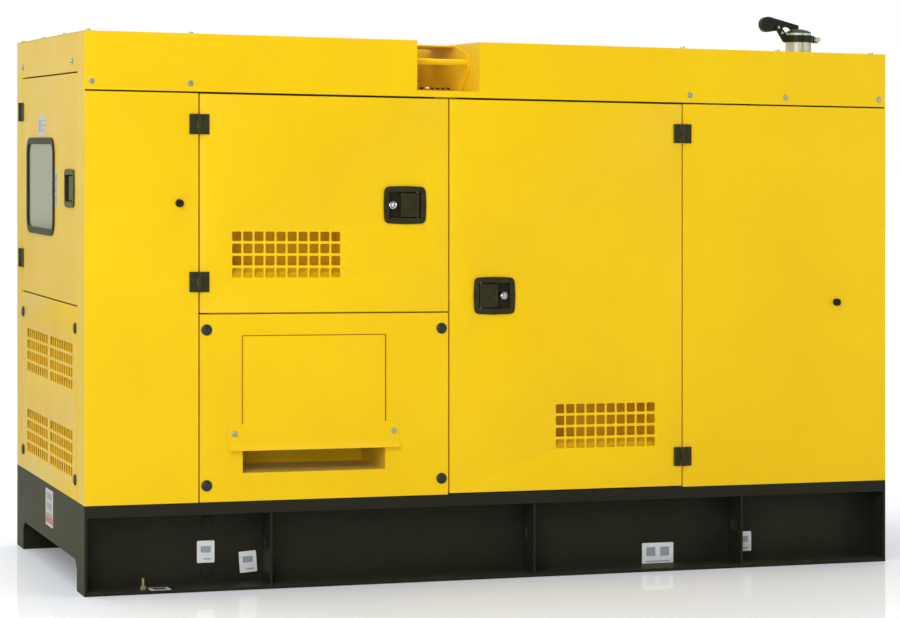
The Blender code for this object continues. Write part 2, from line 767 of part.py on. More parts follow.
def latch(names, place, hand, door_pivot, with_lock=True):
    """A flush paddle latch; hand is 1 with the lock on the left, -1 on the right."""
    housing_name, paddle_name, lock_name = names

    def across(near, far):
        return tuple(sorted((hand * near, hand * far)))

    outline = cushion(LATCH_SIZE, 0.013, LATCH_BOW)
    housing = plate(housing_name, place, outline, (REST, 0.004), "c", BLACK)
    body = slab(housing_name + "_body", place, around(0, BODY_SIZE[0]), around(0, BODY_SIZE[1]),
                (-WELL_DEPTH - 0.0025, 0.002))
    well = slab(housing_name + "_well", place, around(0, WELL_SIZE[0]), around(0, WELL_SIZE[1]),
                (-WELL_DEPTH, 0.010))
    join(housing, body)
    cut(housing, well)

    paddle_pivot = pivot(paddle_name + "_axis", place.moved(hand * PADDLE_AXIS, 0, -0.004))
    paddle = slab(paddle_name, place, across(*PADDLE), around(0, PADDLE_HEIGHT),
                  PADDLE_DEPTH, BLACK)
    soften(paddle, 0.0008)
    grip = slab(paddle_name + "_grip", place, across(PADDLE[0] + 0.001, PADDLE[0] + 0.004),
                around(0, PADDLE_HEIGHT - 0.004), (-0.013, PADDLE_DEPTH[0] + 0.001))
    join(paddle, grip)
    hang(paddle_pivot, paddle)
    hang(door_pivot, housing, paddle_pivot)
    if not with_lock:
        return

    boss = rod(housing_name + "_boss", place, (hand * LOCK_AT, 0), LOCK_RADIUS + 0.0035,
               (-WELL_DEPTH - 0.001, -0.006))
    socket = rod(housing_name + "_socket", place, (hand * LOCK_AT, 0), LOCK_RADIUS + 0.0004,
                 (-WELL_DEPTH, 0.010))
    join(housing, boss)
    cut(housing, socket)
    lock_pivot = pivot(lock_name + "_axis", place.moved(hand * LOCK_AT, 0))
    lock = rod(lock_name, place, (hand * LOCK_AT, 0), LOCK_RADIUS, (-WELL_DEPTH + REST, -0.003),
               "c", STEEL)
    keyway = slab(lock_name + "_keyway", place, around(hand * LOCK_AT, 0.0022),
                  around(0, 0.009), (-0.007, 0.0))
    cut(lock, keyway)
    hang(lock_pivot, lock)
    hang(door_pivot, lock_pivot)


def make_door(name, face, axis_a, toward, width, b, hinges, grille=None, latch_at=None):
    """A tray door on two hinges; returns the door, its pivot and its latch frame."""
    door_pivot = pivot(name + "_axis", face.moved(axis_a, middle(b), HINGE_OUT))
    a = tuple(sorted((axis_a + toward * SEAM / 2, axis_a + toward * (SEAM / 2 + width))))
    door = tray(name, face, a, b)
    if grille:
        cut(door, grille_cutter(name + "_grille", face, grille))
    latch_place = face.moved(*latch_at)
    cut(door, latch_opening(name + "_latch_opening", latch_place))
    hang(door_pivot, door)
    for end, height in zip(("lower", "upper"), hinges):
        hinge(f"{name}_{end}_hinge", face.moved(axis_a, height), toward, door_pivot)
    return door, door_pivot, latch_place


BAY = POST_SEAM - LEFT_SEAM - SEAM


def make_long_side_doors():
    """The three doors of the long sides, with their latches."""
    _, axis, spot = make_door(
        "door_front_left", FRONT, LEFT_SEAM, 1, BAY, (SHELF + SEAM / 2, HEAD - 0.001),
        (0.7635, 1.152), (-0.590, 0.831), (-0.279, 0.9565))
    latch(("latch_housing_front_left", "latch_paddle_front_left", "lock_front_left"),
          spot, 1, axis)

    _, axis, spot = make_door(
        "door_front_right", FRONT, RIGHT_SEAM, -1, BAY, (SILL + 0.003, HEAD - 0.001),
        (0.3005, 1.150), (0.2745, 0.387), (-0.0365, 0.726))
    latch(("latch_housing_front_right", "latch_paddle_front_right", "lock_front_right"),
          spot, -1, axis)

    _, axis, spot = make_door(
        "door_rear", REAR, -RIGHT_SEAM, 1, BAY, (SILL + 0.003, HEAD - 0.001),
        (0.3005, 1.150), (-0.2745, 0.387), (0.0365, 0.726))
    latch(("latch_housing_rear", "latch_paddle_rear", "lock_rear"), spot, 1, axis)


WINDOW_A = (-0.287, 0.079)
WINDOW_B = (0.862, 1.115)
SEAL_WIDTH = 0.017
SEAL_OUT = 0.004


def make_control_door():
    """The end door over the control panel, with its window and handle."""
    width = HALF_W - CORNER_WRAP - SEAM + DOOR_HINGE - SEAM / 2
    door, axis, spot = make_door(
        "door_control", CONTROL_END, -DOOR_HINGE, 1, width, CONTROL_DOOR_B,
        (0.790, 1.1845), None, (0.270, 0.9885))
    groove = 0.006
    opening = rounded([WINDOW_A[0] + groove, WINDOW_A[1] - groove],
                      [WINDOW_B[0] + groove, WINDOW_B[1] - groove], 0.034)
    cut(door, plate("window_opening", CONTROL_END, opening, (-0.010, 0.010)))

    outer = rounded(WINDOW_A, WINDOW_B, 0.040)
    neck = rounded([WINDOW_A[0] + groove + REST, WINDOW_A[1] - groove - REST],
                   [WINDOW_B[0] + groove + REST, WINDOW_B[1] - groove - REST], 0.0337)
    sight = rounded([WINDOW_A[0] + SEAL_WIDTH, WINDOW_A[1] - SEAL_WIDTH],
                    [WINDOW_B[0] + SEAL_WIDTH, WINDOW_B[1] - SEAL_WIDTH], 0.023)
    seal = plate("window_seal", CONTROL_END, outer, (REST, SEAL_OUT), "c", RUBBER, [sight])
    join(seal, plate("seal_neck", CONTROL_END, neck, (-0.006, 0.001), holes=[sight]))
    glass = rounded([WINDOW_A[0] + SEAL_WIDTH + REST, WINDOW_A[1] - SEAL_WIDTH - REST],
                    [WINDOW_B[0] + SEAL_WIDTH + REST, WINDOW_B[1] - SEAL_WIDTH - REST], 0.0227)
    pane = plate("window_pane", CONTROL_END, glass, (-0.004, 0.000), "c", GLASS)
    hang(axis, seal, pane)
    latch(("control_handle_housing", "control_handle_lever", None), spot, 1, axis,
          with_lock=False)


# ---- exhaust -----------------------------------------------------------------
MUFFLER_X = STACK[0]
MUFFLER_Z = 1.150
MUFFLER_RADIUS = 0.085
EXHAUST_PORT = (0.400, -0.150)  # where the pipe leaves the exhaust manifold, in plan
EXHAUST_RUN = MUFFLER_Z - 0.020  # height of the pipe's level run
STACK_TOP = 1.4340
COLLAR = (1.4085, 1.4275)  # height of the clamp collar round the outlet pipe


def make_muffler():
    """The silencer across the outlet end, with the outlet pipe through the roof."""
    place = Place((MUFFLER_X, 0, MUFFLER_Z), X, Z, -Y)
    half = 0.330
    profile = [(0.0, half), (MUFFLER_RADIUS * 0.7, half - 0.004),
               (MUFFLER_RADIUS, half - 0.025), (MUFFLER_RADIUS, -half + 0.025),
               (MUFFLER_RADIUS * 0.7, -half + 0.004), (0.0, -half)]
    silencer = turned("muffler", place, profile, STEEL)
    outlet = rod("outlet_pipe", WORLD, STACK, STACK_RADIUS, (MUFFLER_Z, STACK_TOP),
                 steps=BIG_STEPS)
    bore = rod("outlet_bore", WORLD, STACK, STACK_RADIUS - 0.0025, (ROOF - 0.03, ROOF + 0.10),
               steps=BIG_STEPS)
    join(silencer, outlet)
    cut(silencer, bore)


def make_exhaust_pipe():
    """The pipe from the exhaust manifold to the silencer."""
    bend = 0.045
    x, y = EXHAUST_PORT
    start = Vector((x, y, MANIFOLD_TOP + REST))
    top = Vector((x, y, EXHAUST_RUN))
    end = Vector((MUFFLER_X - MUFFLER_RADIUS - REST, y, EXHAUST_RUN))
    points = [start]
    for step in range(5):
        angle = math.radians(90 * step / 4)
        points.append(top + Vector((bend * (1 - math.cos(angle)), 0, bend * (math.sin(angle) - 1))))
    points.append(end)
    tube("exhaust_pipe", points, 0.024, SOOT)


def make_rain_cap():
    """A clamp collar on the outlet pipe and the weighted flap hinged to it."""
    place = Place((STACK[0], STACK[1], 0), X, Z, -Y)
    axle = (-0.0633, 1.448)
    low, high = COLLAR
    collar = rod("rain_cap_collar", WORLD, STACK, STACK_RADIUS + 0.0045, COLLAR, "c", BLACK,
                 BIG_STEPS)
    arm = [(-0.030, low), (-0.030, high), (-0.0375, high), (-0.0520, 1.4460),
           (-0.0560, 1.4530), (-0.0660, 1.4550), (-0.0715, 1.4440), (-0.0478, low)]
    ear = [(0.030, low), (0.058, low), (0.059, 1.4200), (0.044, high), (0.030, high)]
    join(collar,
         plate("collar_arm", place, arm, (0.0005, 0.0065)),
         plate("collar_ear", place, ear, (-0.007, 0.007)))
    fit = rod("collar_bore", WORLD, STACK, STACK_RADIUS + REST, (1.40, 1.45), steps=BIG_STEPS)
    split = slab("collar_split", place, (0.036, 0.070), (1.40, 1.45), (-0.0012, 0.0012))
    cut(collar, fit, split)

    lid_under = STACK_TOP + 0.0007
    lid_radius = 0.0345
    lid_place = WORLD.moved(STACK[0], STACK[1], lid_under)
    lid = [(0.0, 0.0110), (0.012, 0.0102), (0.026, 0.0066), (lid_radius, 0.0022),
           (lid_radius, 0.0), (0.0, 0.0)]
    flap = turned("rain_cap_flap", lid_place, lid, BLACK)
    lever = [
        (0.0015, 1.4375), (0.0015, 1.4557), (-0.0867, 1.4768), (-0.0920, 1.4355),
        (-0.0700, 1.4385), (-0.0560, 1.4400), (-0.0500, 1.4455), (-0.0420, 1.4500),
        (-0.0300, 1.4490), (-0.0200, 1.4420), (-0.0200, 1.4375),
    ]
    join(flap,
         plate("flap_lever", place, lever, (-0.0075, -0.0005)),
         rod("flap_weight", place, (-0.0920, 1.4560), 0.021, (-0.0190, -0.0005), steps=BIG_STEPS))
    hang(pivot("rain_cap_flap_axis", place.moved(*axle)), flap)


# ---- machinery ---------------------------------------------------------------
SHAFT_Z = 0.540
ENGINE_X = (-0.080, 0.480)
BLOCK_Z = (0.380, 0.740)
HEAD_TOP = 0.815
ROCKER_TOP = 0.850
MANIFOLD_TOP = 0.835
SUMP_FLOOR = 0.280
BELL_RADIUS = 0.195        # flywheel housing
BELL_X = (-0.130, -0.070)
TIMING_DEPTH = 0.030
OIL_FILTERS = (0.120, 0.230)
FILTER_RADIUS = 0.042


def make_engine():
    """The diesel engine: block, head, sump, flywheel housing and mounts."""
    back, front = ENGINE_X
    foot, top = BLOCK_Z
    block = slab("engine", WORLD, ENGINE_X, (-0.150, 0.150), BLOCK_Z, ENGINE_GREY)
    soften(block, 0.010)
    sump = slab("sump", WORLD, (back + 0.030, front - 0.040), (-0.110, 0.110),
                (SUMP_FLOOR, foot + 0.010))
    head = slab("cylinder_head", WORLD, (back + 0.020, front - 0.020), (-0.120, 0.120),
                (top - 0.010, HEAD_TOP))
    rocker = slab("rocker_cover", WORLD, (back + 0.040, front - 0.040), (-0.070, 0.070),
                  (HEAD_TOP - 0.010, ROCKER_TOP))
    housing = rod("flywheel_housing", WORLD, (0, SHAFT_Z), BELL_RADIUS, BELL_X, "a",
                  steps=BIG_STEPS)
    timing = slab("timing_cover", WORLD, (front - 0.010, front + TIMING_DEPTH), (-0.130, 0.130),
                  (foot + 0.020, top - 0.020))
    manifold = slab("manifold", WORLD, (back + 0.080, front - 0.040), (-0.205, -0.110),
                    (top + 0.030, MANIFOLD_TOP))
    join(block, sump, head, rocker, housing, timing, manifold)
    for number, x in enumerate(OIL_FILTERS):
        bracket = slab(f"filter_bracket_{number}", WORLD, around(x, 0.040), (-0.195, -0.140),
                       (0.540, 0.575))
        can = rod(f"oil_filter_{number}", WORLD, (x, -0.190), FILTER_RADIUS, (0.420, 0.560))
        join(block, bracket, can)
    for number, span in enumerate(((-0.220, -0.140), (0.140, 0.220))):
        join(block, slab(f"engine_mount_{number}", WORLD, around(BEAMS[1], 0.050), span,
                         (SILL, foot + 0.040)))


ALTERNATOR_X = (-0.620, BELL_X[0] - 0.0005)
TERMINAL_BOX = ((-0.560, -0.300), (-0.130, 0.130), (0.690, 0.830))


def make_alternator():
    """The alternator, flanged to the flywheel housing."""
    place = WORLD.moved(0, 0, SHAFT_Z)
    back, front = ALTERNATOR_X
    profile = [(0.0, front), (0.190, front), (0.190, front - 0.025), (0.165, front - 0.035),
               (0.165, front - 0.090), (0.180, front - 0.100), (0.180, back + 0.090),
               (0.150, back + 0.060), (0.130, back), (0.0, back)]
    body = turned("alternator", place, profile, ALTERNATOR_GREY, "a")
    join(body, slab("terminal_box", WORLD, *TERMINAL_BOX))
    for number, span in enumerate(((-0.200, -0.110), (0.110, 0.200))):
        join(body, slab(f"alternator_foot_{number}", WORLD, around(BEAMS[0] + 0.090, 0.070),
                        span, (SILL, 0.480)))


FAN_X = (0.560, 0.600)
FAN_Z = SHAFT_Z + 0.060
FAN_RADIUS = 0.230
FAN_HUB = 0.060
FAN_BLADES = 7
BLADE_PITCH = 28


def make_cooling_fan():
    """The fan on the front of the engine."""
    place = Place((0, 0, FAN_Z), Y, Z, X)
    hub_back = ENGINE_X[1] + TIMING_DEPTH + 0.005
    fan = rod("cooling_fan", place, (0, 0), FAN_HUB, (hub_back, FAN_X[1]), "c", BLACK, BIG_STEPS)
    root = FAN_HUB - 0.015
    pitch = Matrix.Rotation(math.radians(BLADE_PITCH), 4, "Y")
    lift = Matrix.Translation((0, (root + FAN_RADIUS) / 2, 0))
    for number in range(FAN_BLADES):
        blade = slab(f"fan_blade_{number}", WORLD, (-0.045, 0.045), (root, FAN_RADIUS),
                     (-0.002, 0.002))
        turn = Matrix.Rotation(math.tau * number / FAN_BLADES, 4, "Z")
        blade.matrix_world = place.at(0, 0, middle(FAN_X)) @ turn @ lift @ pitch
        join(fan, blade)
    hang(pivot("cooling_fan_axis", place.moved(0, 0, middle(FAN_X))), fan)


CORE_X = (0.660, 0.730)
CORE_HALF_WIDTH = 0.300
CORE_Z = (0.330, 0.960)
TANK_HEIGHT = 0.060
TANK_LAP = 0.010
SHROUD_X = (0.600, CORE_X[0] + 0.005)


def make_radiator():
    """The radiator core between two tanks, with its fan shroud."""
    low, high = CORE_Z
    core = slab("radiator", WORLD, CORE_X, (-CORE_HALF_WIDTH, CORE_HALF_WIDTH), CORE_Z,
                FIN_BLACK)
    tank_x = (CORE_X[0] - TANK_LAP, CORE_X[1] + TANK_LAP)
    tank_y = (-CORE_HALF_WIDTH - TANK_LAP, CORE_HALF_WIDTH + TANK_LAP)
    top = slab("top_tank", WORLD, tank_x, tank_y, (high - TANK_LAP, high + TANK_HEIGHT))
    under = slab("bottom_tank", WORLD, tank_x, tank_y, (low - TANK_HEIGHT, low + TANK_LAP))
    shroud = slab("shroud", WORLD, SHROUD_X, (-0.290, 0.290), (low + 0.010, 0.880))
    hollow = rod("shroud_hollow", WORLD, (0, FAN_Z), FAN_RADIUS + 0.020,
                 (SHROUD_X[0] - 0.010, CORE_X[0] - 0.010), "a", steps=BIG_STEPS)
    join(core, top, under, shroud)
    cut(core, hollow)
    for number, span in enumerate(((-0.352, -0.250), (0.250, 0.352))):
        join(core, slab(f"radiator_foot_{number}", WORLD, (0.655, 0.735), span,
                        (SILL, low - TANK_HEIGHT + TANK_LAP)))


CABINET_SETBACK = 0.090    # the cabinet's face behind the end panels
CABINET = ((-0.310, 0.120), (0.780, 1.190), (-0.160, 0.0))
DISPLAY_BEZEL = ((-0.200, -0.020), (0.960, 1.080), (-0.010, 0.006))
STOP_AT = (-0.060, 0.830)
STOP_STEM = 0.009


def make_control_panel():
    """The control cabinet behind the window, with its emergency stop."""
    place = CONTROL_END.moved(0, 0, -CABINET_SETBACK)
    cabinet = slab("control_panel", place, *CABINET, PANEL_GREY)
    soften(cabinet, 0.003)
    display = slab("display_bezel", place, *DISPLAY_BEZEL)
    socket = rod("stop_socket", place, STOP_AT, STOP_STEM + 0.0005, (-0.030, 0.010))
    join(cabinet, display)
    cut(cabinet, socket)

    stop_place = place.moved(*STOP_AT)
    stem = rod("emergency_stop", stop_place, (0, 0), STOP_STEM, (-0.012, 0.012), "c", STOP_RED)
    head = rod("stop_head", stop_place, (0, 0), 0.020, (0.0085, 0.022), end_radius=0.017)
    join(stem, head)
    hang(pivot("emergency_stop_axis", stop_place), stem)


BATTERY = ((-1.000, -0.740), (-0.330, -0.160), (SILL, 0.420))
POSTS_X = (-0.960, -0.780)


def make_battery():
    """The starter battery on the skid's deck at the control end."""
    case = slab("battery", WORLD, *BATTERY, BATTERY_BLACK)
    soften(case, 0.004)
    top = BATTERY[2][1]
    for number, x in enumerate(POSTS_X):
        join(case, rod(f"battery_post_{number}", WORLD, (x, -0.290), 0.009,
                       (top - 0.010, top + 0.018)))


def main():
    """Build every part."""
    make_skid()
    make_fuel_tank()
    make_fuel_cap()
    make_earth_terminal()
    make_corners()
    make_roof()
    make_lifting_frame()
    make_end_panels()
    make_rear_side_panel()
    make_service_panel()
    make_cable_cover()
    make_long_side_doors()
    make_control_door()
    make_muffler()
    make_exhaust_pipe()
    make_rain_cap()
    make_engine()
    make_alternator()
    make_cooling_fan()
    make_radiator()
    make_control_panel()
    make_battery()


main()
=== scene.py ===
"""Looks of the skid-mounted diesel generator set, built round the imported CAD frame.

Every upright face has its own local frame (a to the right, b up, c outwards), and
every added piece is laid out in one of those and rides on a CAD body.
"""

import json
import math

import bmesh
import bpy
from mathutils import Matrix, Vector


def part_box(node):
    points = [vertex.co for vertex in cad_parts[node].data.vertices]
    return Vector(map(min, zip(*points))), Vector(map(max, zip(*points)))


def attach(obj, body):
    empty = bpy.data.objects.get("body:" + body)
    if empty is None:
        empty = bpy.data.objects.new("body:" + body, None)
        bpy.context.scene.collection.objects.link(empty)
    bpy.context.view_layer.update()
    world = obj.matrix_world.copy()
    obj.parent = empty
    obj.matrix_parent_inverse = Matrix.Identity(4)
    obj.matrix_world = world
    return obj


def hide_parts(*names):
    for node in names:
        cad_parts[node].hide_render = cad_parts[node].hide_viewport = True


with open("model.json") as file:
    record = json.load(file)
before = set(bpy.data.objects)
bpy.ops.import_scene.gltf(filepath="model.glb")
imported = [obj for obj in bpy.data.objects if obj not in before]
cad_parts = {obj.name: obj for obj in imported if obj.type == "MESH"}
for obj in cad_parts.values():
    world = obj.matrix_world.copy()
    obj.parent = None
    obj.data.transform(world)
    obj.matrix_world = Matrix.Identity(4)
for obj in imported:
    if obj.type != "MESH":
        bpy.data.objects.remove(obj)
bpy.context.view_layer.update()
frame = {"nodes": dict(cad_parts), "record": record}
ROOT = "canopy_and_skid"

# ---- where the CAD puts things ------------------------------------------------
SKID_LOW, SKID_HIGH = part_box("skid_frame")
FRONT_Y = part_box("service_panel")[0].y
REAR_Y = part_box("rear_side_panel")[1].y
LEFT_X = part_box("end_vent_panel")[0].x
RIGHT_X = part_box("outlet_end_panel")[1].x
ROOF_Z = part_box("roof_cover")[1].z
DECK_Z = SKID_HIGH.z
SHEET = 0.002
SEAM = 0.004
REST = 0.0003
MM = 0.001

X, Y, Z = Vector((1, 0, 0)), Vector((0, 1, 0)), Vector((0, 0, 1))


class Place:
    """An origin and three axes, in which pieces are laid out as (a, b, c)."""

    def __init__(self, origin, first, second, third):
        self.origin = Vector(origin)
        self.axes = Matrix((first, second, third)).transposed()

    def at(self, a=0.0, b=0.0, c=0.0):
        """The world matrix of a point in this frame, turned with it."""
        spot = self.origin + self.axes @ Vector((a, b, c))
        return Matrix.Translation(spot) @ self.axes.to_4x4()

    def moved(self, a, b, c=0.0):
        """The same frame with its origin moved."""
        first, second, third = self.axes.transposed()
        return Place(self.at(a, b, c).translation, first, second, third)

    def local(self, point):
        """A world point in this frame's own coordinates."""
        return self.axes.transposed() @ (Vector(point) - self.origin)


WORLD = Place((0, 0, 0), X, Y, Z)
FRONT = Place((0, FRONT_Y, 0), X, Z, -Y)
REAR = Place((0, REAR_Y, 0), -X, Z, Y)
CONTROL_END = Place((LEFT_X, 0, 0), -Y, Z, -X)
OUTLET_END = Place((RIGHT_X, 0, 0), Y, Z, X)
ROOF = Place((0, 0, ROOF_Z), X, Y, Z)


def span_of(node, place):
    """A CAD node's (low, high) spans along a and b in a face's frame."""
    corners = [place.local(corner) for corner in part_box(node)]
    return [tuple(sorted((corners[0][axis], corners[1][axis]))) for axis in (0, 1)]


# ---- materials ----------------------------------------------------------------
class Shader:
    """Builds one procedural material, node by node."""

    def __init__(self, name, colour, roughness, metallic=0.0):
        self.material = bpy.data.materials.new(name)
        self.material.use_nodes = True
        self.tree = self.material.node_tree
        self.surface = self.tree.nodes["Principled BSDF"]
        self.place = self.node("ShaderNodeTexCoord").outputs["Object"]
        self.set("Base Color", (*colour, 1.0))
        self.set("Roughness", roughness)
        self.set("Metallic", metallic)

    def node(self, kind, settings=None, **inputs):
        """Add a node; each input takes a value or another node's output."""
        made = self.tree.nodes.new(kind)
        for key, value in (settings or {}).items():
            setattr(made, key, value)
        for key, value in inputs.items():
            self.feed(made.inputs[key.replace("_", " ")], value)
        return made

    def feed(self, socket, value):
        """Link an output to a socket, or set the socket's value."""
        if isinstance(value, bpy.types.NodeSocket):
            self.tree.links.new(value, socket)
        else:
            socket.default_value = value

    def set(self, name, value):
        """Set or link an input of the surface shader."""
        self.feed(self.surface.inputs[name], value)

    def stretched(self, scale):
        """Object coordinates scaled unevenly, for brushed or rolled textures."""
        return self.node("ShaderNodeMapping", Vector=self.place, Scale=scale).outputs[0]

    def noise(self, scale, detail=3.0, roughness=0.5, vector=None):
        """Cloudy noise from 0 to 1."""
        return self.node("ShaderNodeTexNoise", Vector=vector or self.place, Scale=scale,
                         Detail=detail, Roughness=roughness).outputs["Fac"]

    def cells(self, scale, vector=None):
        """Distance to the nearest of many scattered points."""
        return self.node("ShaderNodeTexVoronoi", Vector=vector or self.place,
                         Scale=scale).outputs["Distance"]

    def remap(self, value, low, high, to_low=0.0, to_high=1.0):
        """Map a span of values to another, clamped."""
        made = self.node("ShaderNodeMapRange", Value=value)
        made.inputs["From Min"].default_value = low
        made.inputs["From Max"].default_value = high
        made.inputs["To Min"].default_value = to_low
        made.inputs["To Max"].default_value = to_high
        return made.outputs[0]

    def maths(self, operation, first, second=0.0):
        """One arithmetic step."""
        made = self.node("ShaderNodeMath", {"operation": operation})
        self.feed(made.inputs[0], first)
        self.feed(made.inputs[1], second)
        return made.outputs[0]

    def blend(self, share, first, second, mode="MIX"):
        """Mix two colours."""
        made = self.node("ShaderNodeMix", {"data_type": "RGBA", "blend_type": mode})
        self.feed(made.inputs[0], share)
        for slot, colour in ((6, first), (7, second)):
            if not isinstance(colour, bpy.types.NodeSocket):
                colour = (*colour, 1.0)
            self.feed(made.inputs[slot], colour)
        return made.outputs[2]

    def bump(self, height, depth, strength=1.0):
        """Raise the surface by a height pattern, in metres, on top of any earlier bump."""
        made = self.node("ShaderNodeBump", Height=height, Strength=strength, Distance=depth)
        earlier = self.surface.inputs["Normal"].links
        if earlier:
            self.tree.links.new(earlier[0].from_socket, made.inputs["Normal"])
        self.set("Normal", made.outputs[0])

    def glaze(self, colour, roughness, ior=1.42):
        """Swap the clear gloss for a tinted one that strengthens at grazing angles."""
        self.set("Specular IOR Level", 0.0)
        gloss = self.node("ShaderNodeBsdfGlossy", Color=(*colour, 1.0), Roughness=roughness)
        share = self.node("ShaderNodeFresnel", IOR=ior)
        bumps = self.surface.inputs["Normal"].links
        if bumps:
            self.feed(gloss.inputs["Normal"], bumps[0].from_socket)
            self.feed(share.inputs["Normal"], bumps[0].from_socket)
        mix = self.node("ShaderNodeMixShader")
        self.feed(mix.inputs[0], share.outputs[0])
        self.feed(mix.inputs[1], self.surface.outputs[0])
        self.feed(mix.inputs[2], gloss.outputs[0])
        self.feed(self.tree.nodes["Material Output"].inputs["Surface"], mix.outputs[0])

    def facing_up(self, low=0.3, high=0.9):
        """How far the surface faces upwards, where dust settles."""
        normal = self.node("ShaderNodeNewGeometry").outputs["Normal"]
        upward = self.node("ShaderNodeSeparateXYZ", Vector=normal).outputs["Z"]
        return self.remap(upward, low, high)

    def edges(self, radius):
        """1 on a sharp edge and 0 on a flat: how far a rounded normal turns away."""
        rounded = self.node("ShaderNodeBevel", {"samples": 4}, Radius=radius).outputs[0]
        flat = self.node("ShaderNodeNewGeometry").outputs["Normal"]
        dot = self.node("ShaderNodeVectorMath", {"operation": "DOT_PRODUCT"})
        self.feed(dot.inputs[0], rounded)
        self.feed(dot.inputs[1], flat)
        return self.remap(dot.outputs["Value"], 0.995, 0.90)


SHEEN = (0.90, 0.91, 0.66)          # the slightly olive sheen of the dark coatings
HARDWARE_SHEEN = (0.55, 0.56, 0.38)
SKID_SHEEN = (0.34, 0.34, 0.25)
YELLOW_BASE = (0.855, 0.560, 0.0040)
YELLOW_DEEP = (0.810, 0.505, 0.0035)
YELLOW_EDGE = (0.930, 0.660, 0.050)


def canopy_paint(name="canopy_paint", cover=1.0):
    """Yellow powder coat: slight cloudiness, orange peel, paler on worn edges.

    A second argument under 1 darkens and browns the yellow as painted shade: for the trays seen in
    shadow behind the grilles, and for the dark strip that stands in for the shadow gap round the
    cable cover.
    """
    # A factor under 1 is painted shade: it darkens the yellow and turns it browner.
    base, deep = ((cover * red, cover ** 2 * green, cover * blue)
                  for red, green, blue in (YELLOW_BASE, YELLOW_DEEP))
    paint = Shader(name, base, 0.36)
    cloud = paint.remap(paint.noise(2.2, 5.0, 0.6), 0.35, 0.70)
    speckle = paint.remap(paint.noise(160.0, 2.0), 0.42, 0.62)
    colour = paint.blend(cloud, base, deep)
    colour = paint.blend(paint.maths("MULTIPLY", speckle, 0.10), colour, deep)
    worn = paint.maths("MULTIPLY", paint.edges(1.2 * MM),
                       paint.remap(paint.noise(55.0, 4.0), 0.45, 0.70))
    colour = paint.blend(paint.maths("MULTIPLY", worn, 0.5), colour, YELLOW_EDGE)
    paint.set("Base Color", colour)
    paint.set("Roughness", paint.remap(paint.noise(9.0, 5.0), 0.3, 0.7, 0.33, 0.43))
    paint.set("Specular IOR Level", 0.14)
    paint.set("Sheen Weight", 0.10)
    paint.set("Sheen Roughness", 0.40)
    paint.set("Sheen Tint", (0.85, 1.0, 0.80, 1.0))
    paint.bump(paint.noise(620.0, 2.0, 0.4), 0.10 * MM, 0.55)
    paint.bump(paint.noise(14.0, 2.0), 0.5 * MM, 0.10)
    return paint.material


def skid_paint(name="skid_paint", dust_share=0.40):
    """Charcoal enamel over rolled steel, with dust on what faces up."""
    charcoal, brown, dust = (0.0165, 0.0160, 0.0108), (0.021, 0.0195, 0.0135), (0.085, 0.072, 0.048)
    paint = Shader(name, charcoal, 0.5)
    mottled = paint.remap(paint.noise(7.0, 6.0, 0.65), 0.35, 0.70)
    colour = paint.blend(mottled, charcoal, brown)
    dusty = paint.maths("MULTIPLY", paint.facing_up(), paint.remap(paint.noise(18.0, 6.0), 0.3, 0.75))
    colour = paint.blend(paint.maths("MULTIPLY", dusty, dust_share), colour, dust)
    scuffs = paint.maths("MULTIPLY", paint.edges(1.5 * MM),
                         paint.remap(paint.noise(70.0, 5.0), 0.50, 0.68))
    colour = paint.blend(paint.maths("MULTIPLY", scuffs, 0.45), colour, (0.10, 0.095, 0.085))
    paint.set("Base Color", colour)
    paint.set("Roughness", paint.remap(paint.noise(26.0, 5.0), 0.3, 0.7, 0.38, 0.58))
    paint.bump(paint.noise(380.0, 3.0), 0.15 * MM, 0.6)
    paint.bump(paint.noise(16.0, 3.0), 1.2 * MM, 0.15)
    paint.glaze(SKID_SHEEN, 0.42, 1.36)
    return paint.material


def black_hardware(name, colour=(0.026, 0.0235, 0.0105), roughness=0.42):
    """Black coated castings and mouldings: fine texture, rubbed edges."""
    paint = Shader(name, colour, roughness)
    patch = paint.remap(paint.noise(60.0, 4.0), 0.35, 0.7)
    lighter = tuple(1.7 * part for part in colour)
    base = paint.blend(paint.maths("MULTIPLY", patch, 0.6), colour, lighter)
    rubbed = paint.maths("MULTIPLY", paint.edges(0.8 * MM), 0.5)
    paint.set("Base Color", paint.blend(rubbed, base, (0.10, 0.10, 0.085)))
    paint.set("Roughness", paint.remap(paint.noise(140.0), 0.3, 0.7, roughness - 0.08,
                                       roughness + 0.12))
    paint.bump(paint.noise(900.0, 2.0), 0.08 * MM, 0.7)
    paint.glaze(HARDWARE_SHEEN, roughness, 1.36)
    return paint.material


def rubber(name, colour=(0.016, 0.016, 0.015), sheen=1.0):
    """Matt rubber with a faint bloom; a sheen under 1 is duller at grazing angles."""
    made = Shader(name, colour, 0.72)
    bloom = made.remap(made.noise(35.0, 5.0), 0.4, 0.75)
    made.set("Base Color", made.blend(made.maths("MULTIPLY", bloom, 0.4), colour,
                                      (0.045, 0.045, 0.042)))
    made.set("Roughness", made.remap(made.noise(120.0), 0.3, 0.7, 0.62, 0.85))
    made.bump(made.noise(700.0, 2.0), 0.08 * MM, 0.6)
    made.glaze(tuple(sheen * part for part in SHEEN), 0.7, 1.36)
    return made.material


def bare_metal(name, colour, roughness, grain=(6.0, 6.0, 900.0), depth=0.02):
    """Machined or plated metal with a directional grain."""
    metal = Shader(name, colour, roughness, 1.0)
    brushed = metal.noise(1.0, 3.0, 0.6, metal.stretched(grain))
    tint = metal.remap(metal.noise(30.0, 4.0), 0.35, 0.7)
    darker = tuple(0.72 * part for part in colour)
    metal.set("Base Color", metal.blend(metal.maths("MULTIPLY", tint, 0.6), colour, darker))
    metal.set("Roughness", metal.remap(brushed, 0.3, 0.7, roughness * 0.75, roughness * 1.35))
    metal.bump(brushed, depth * MM, 0.6)
    return metal.material


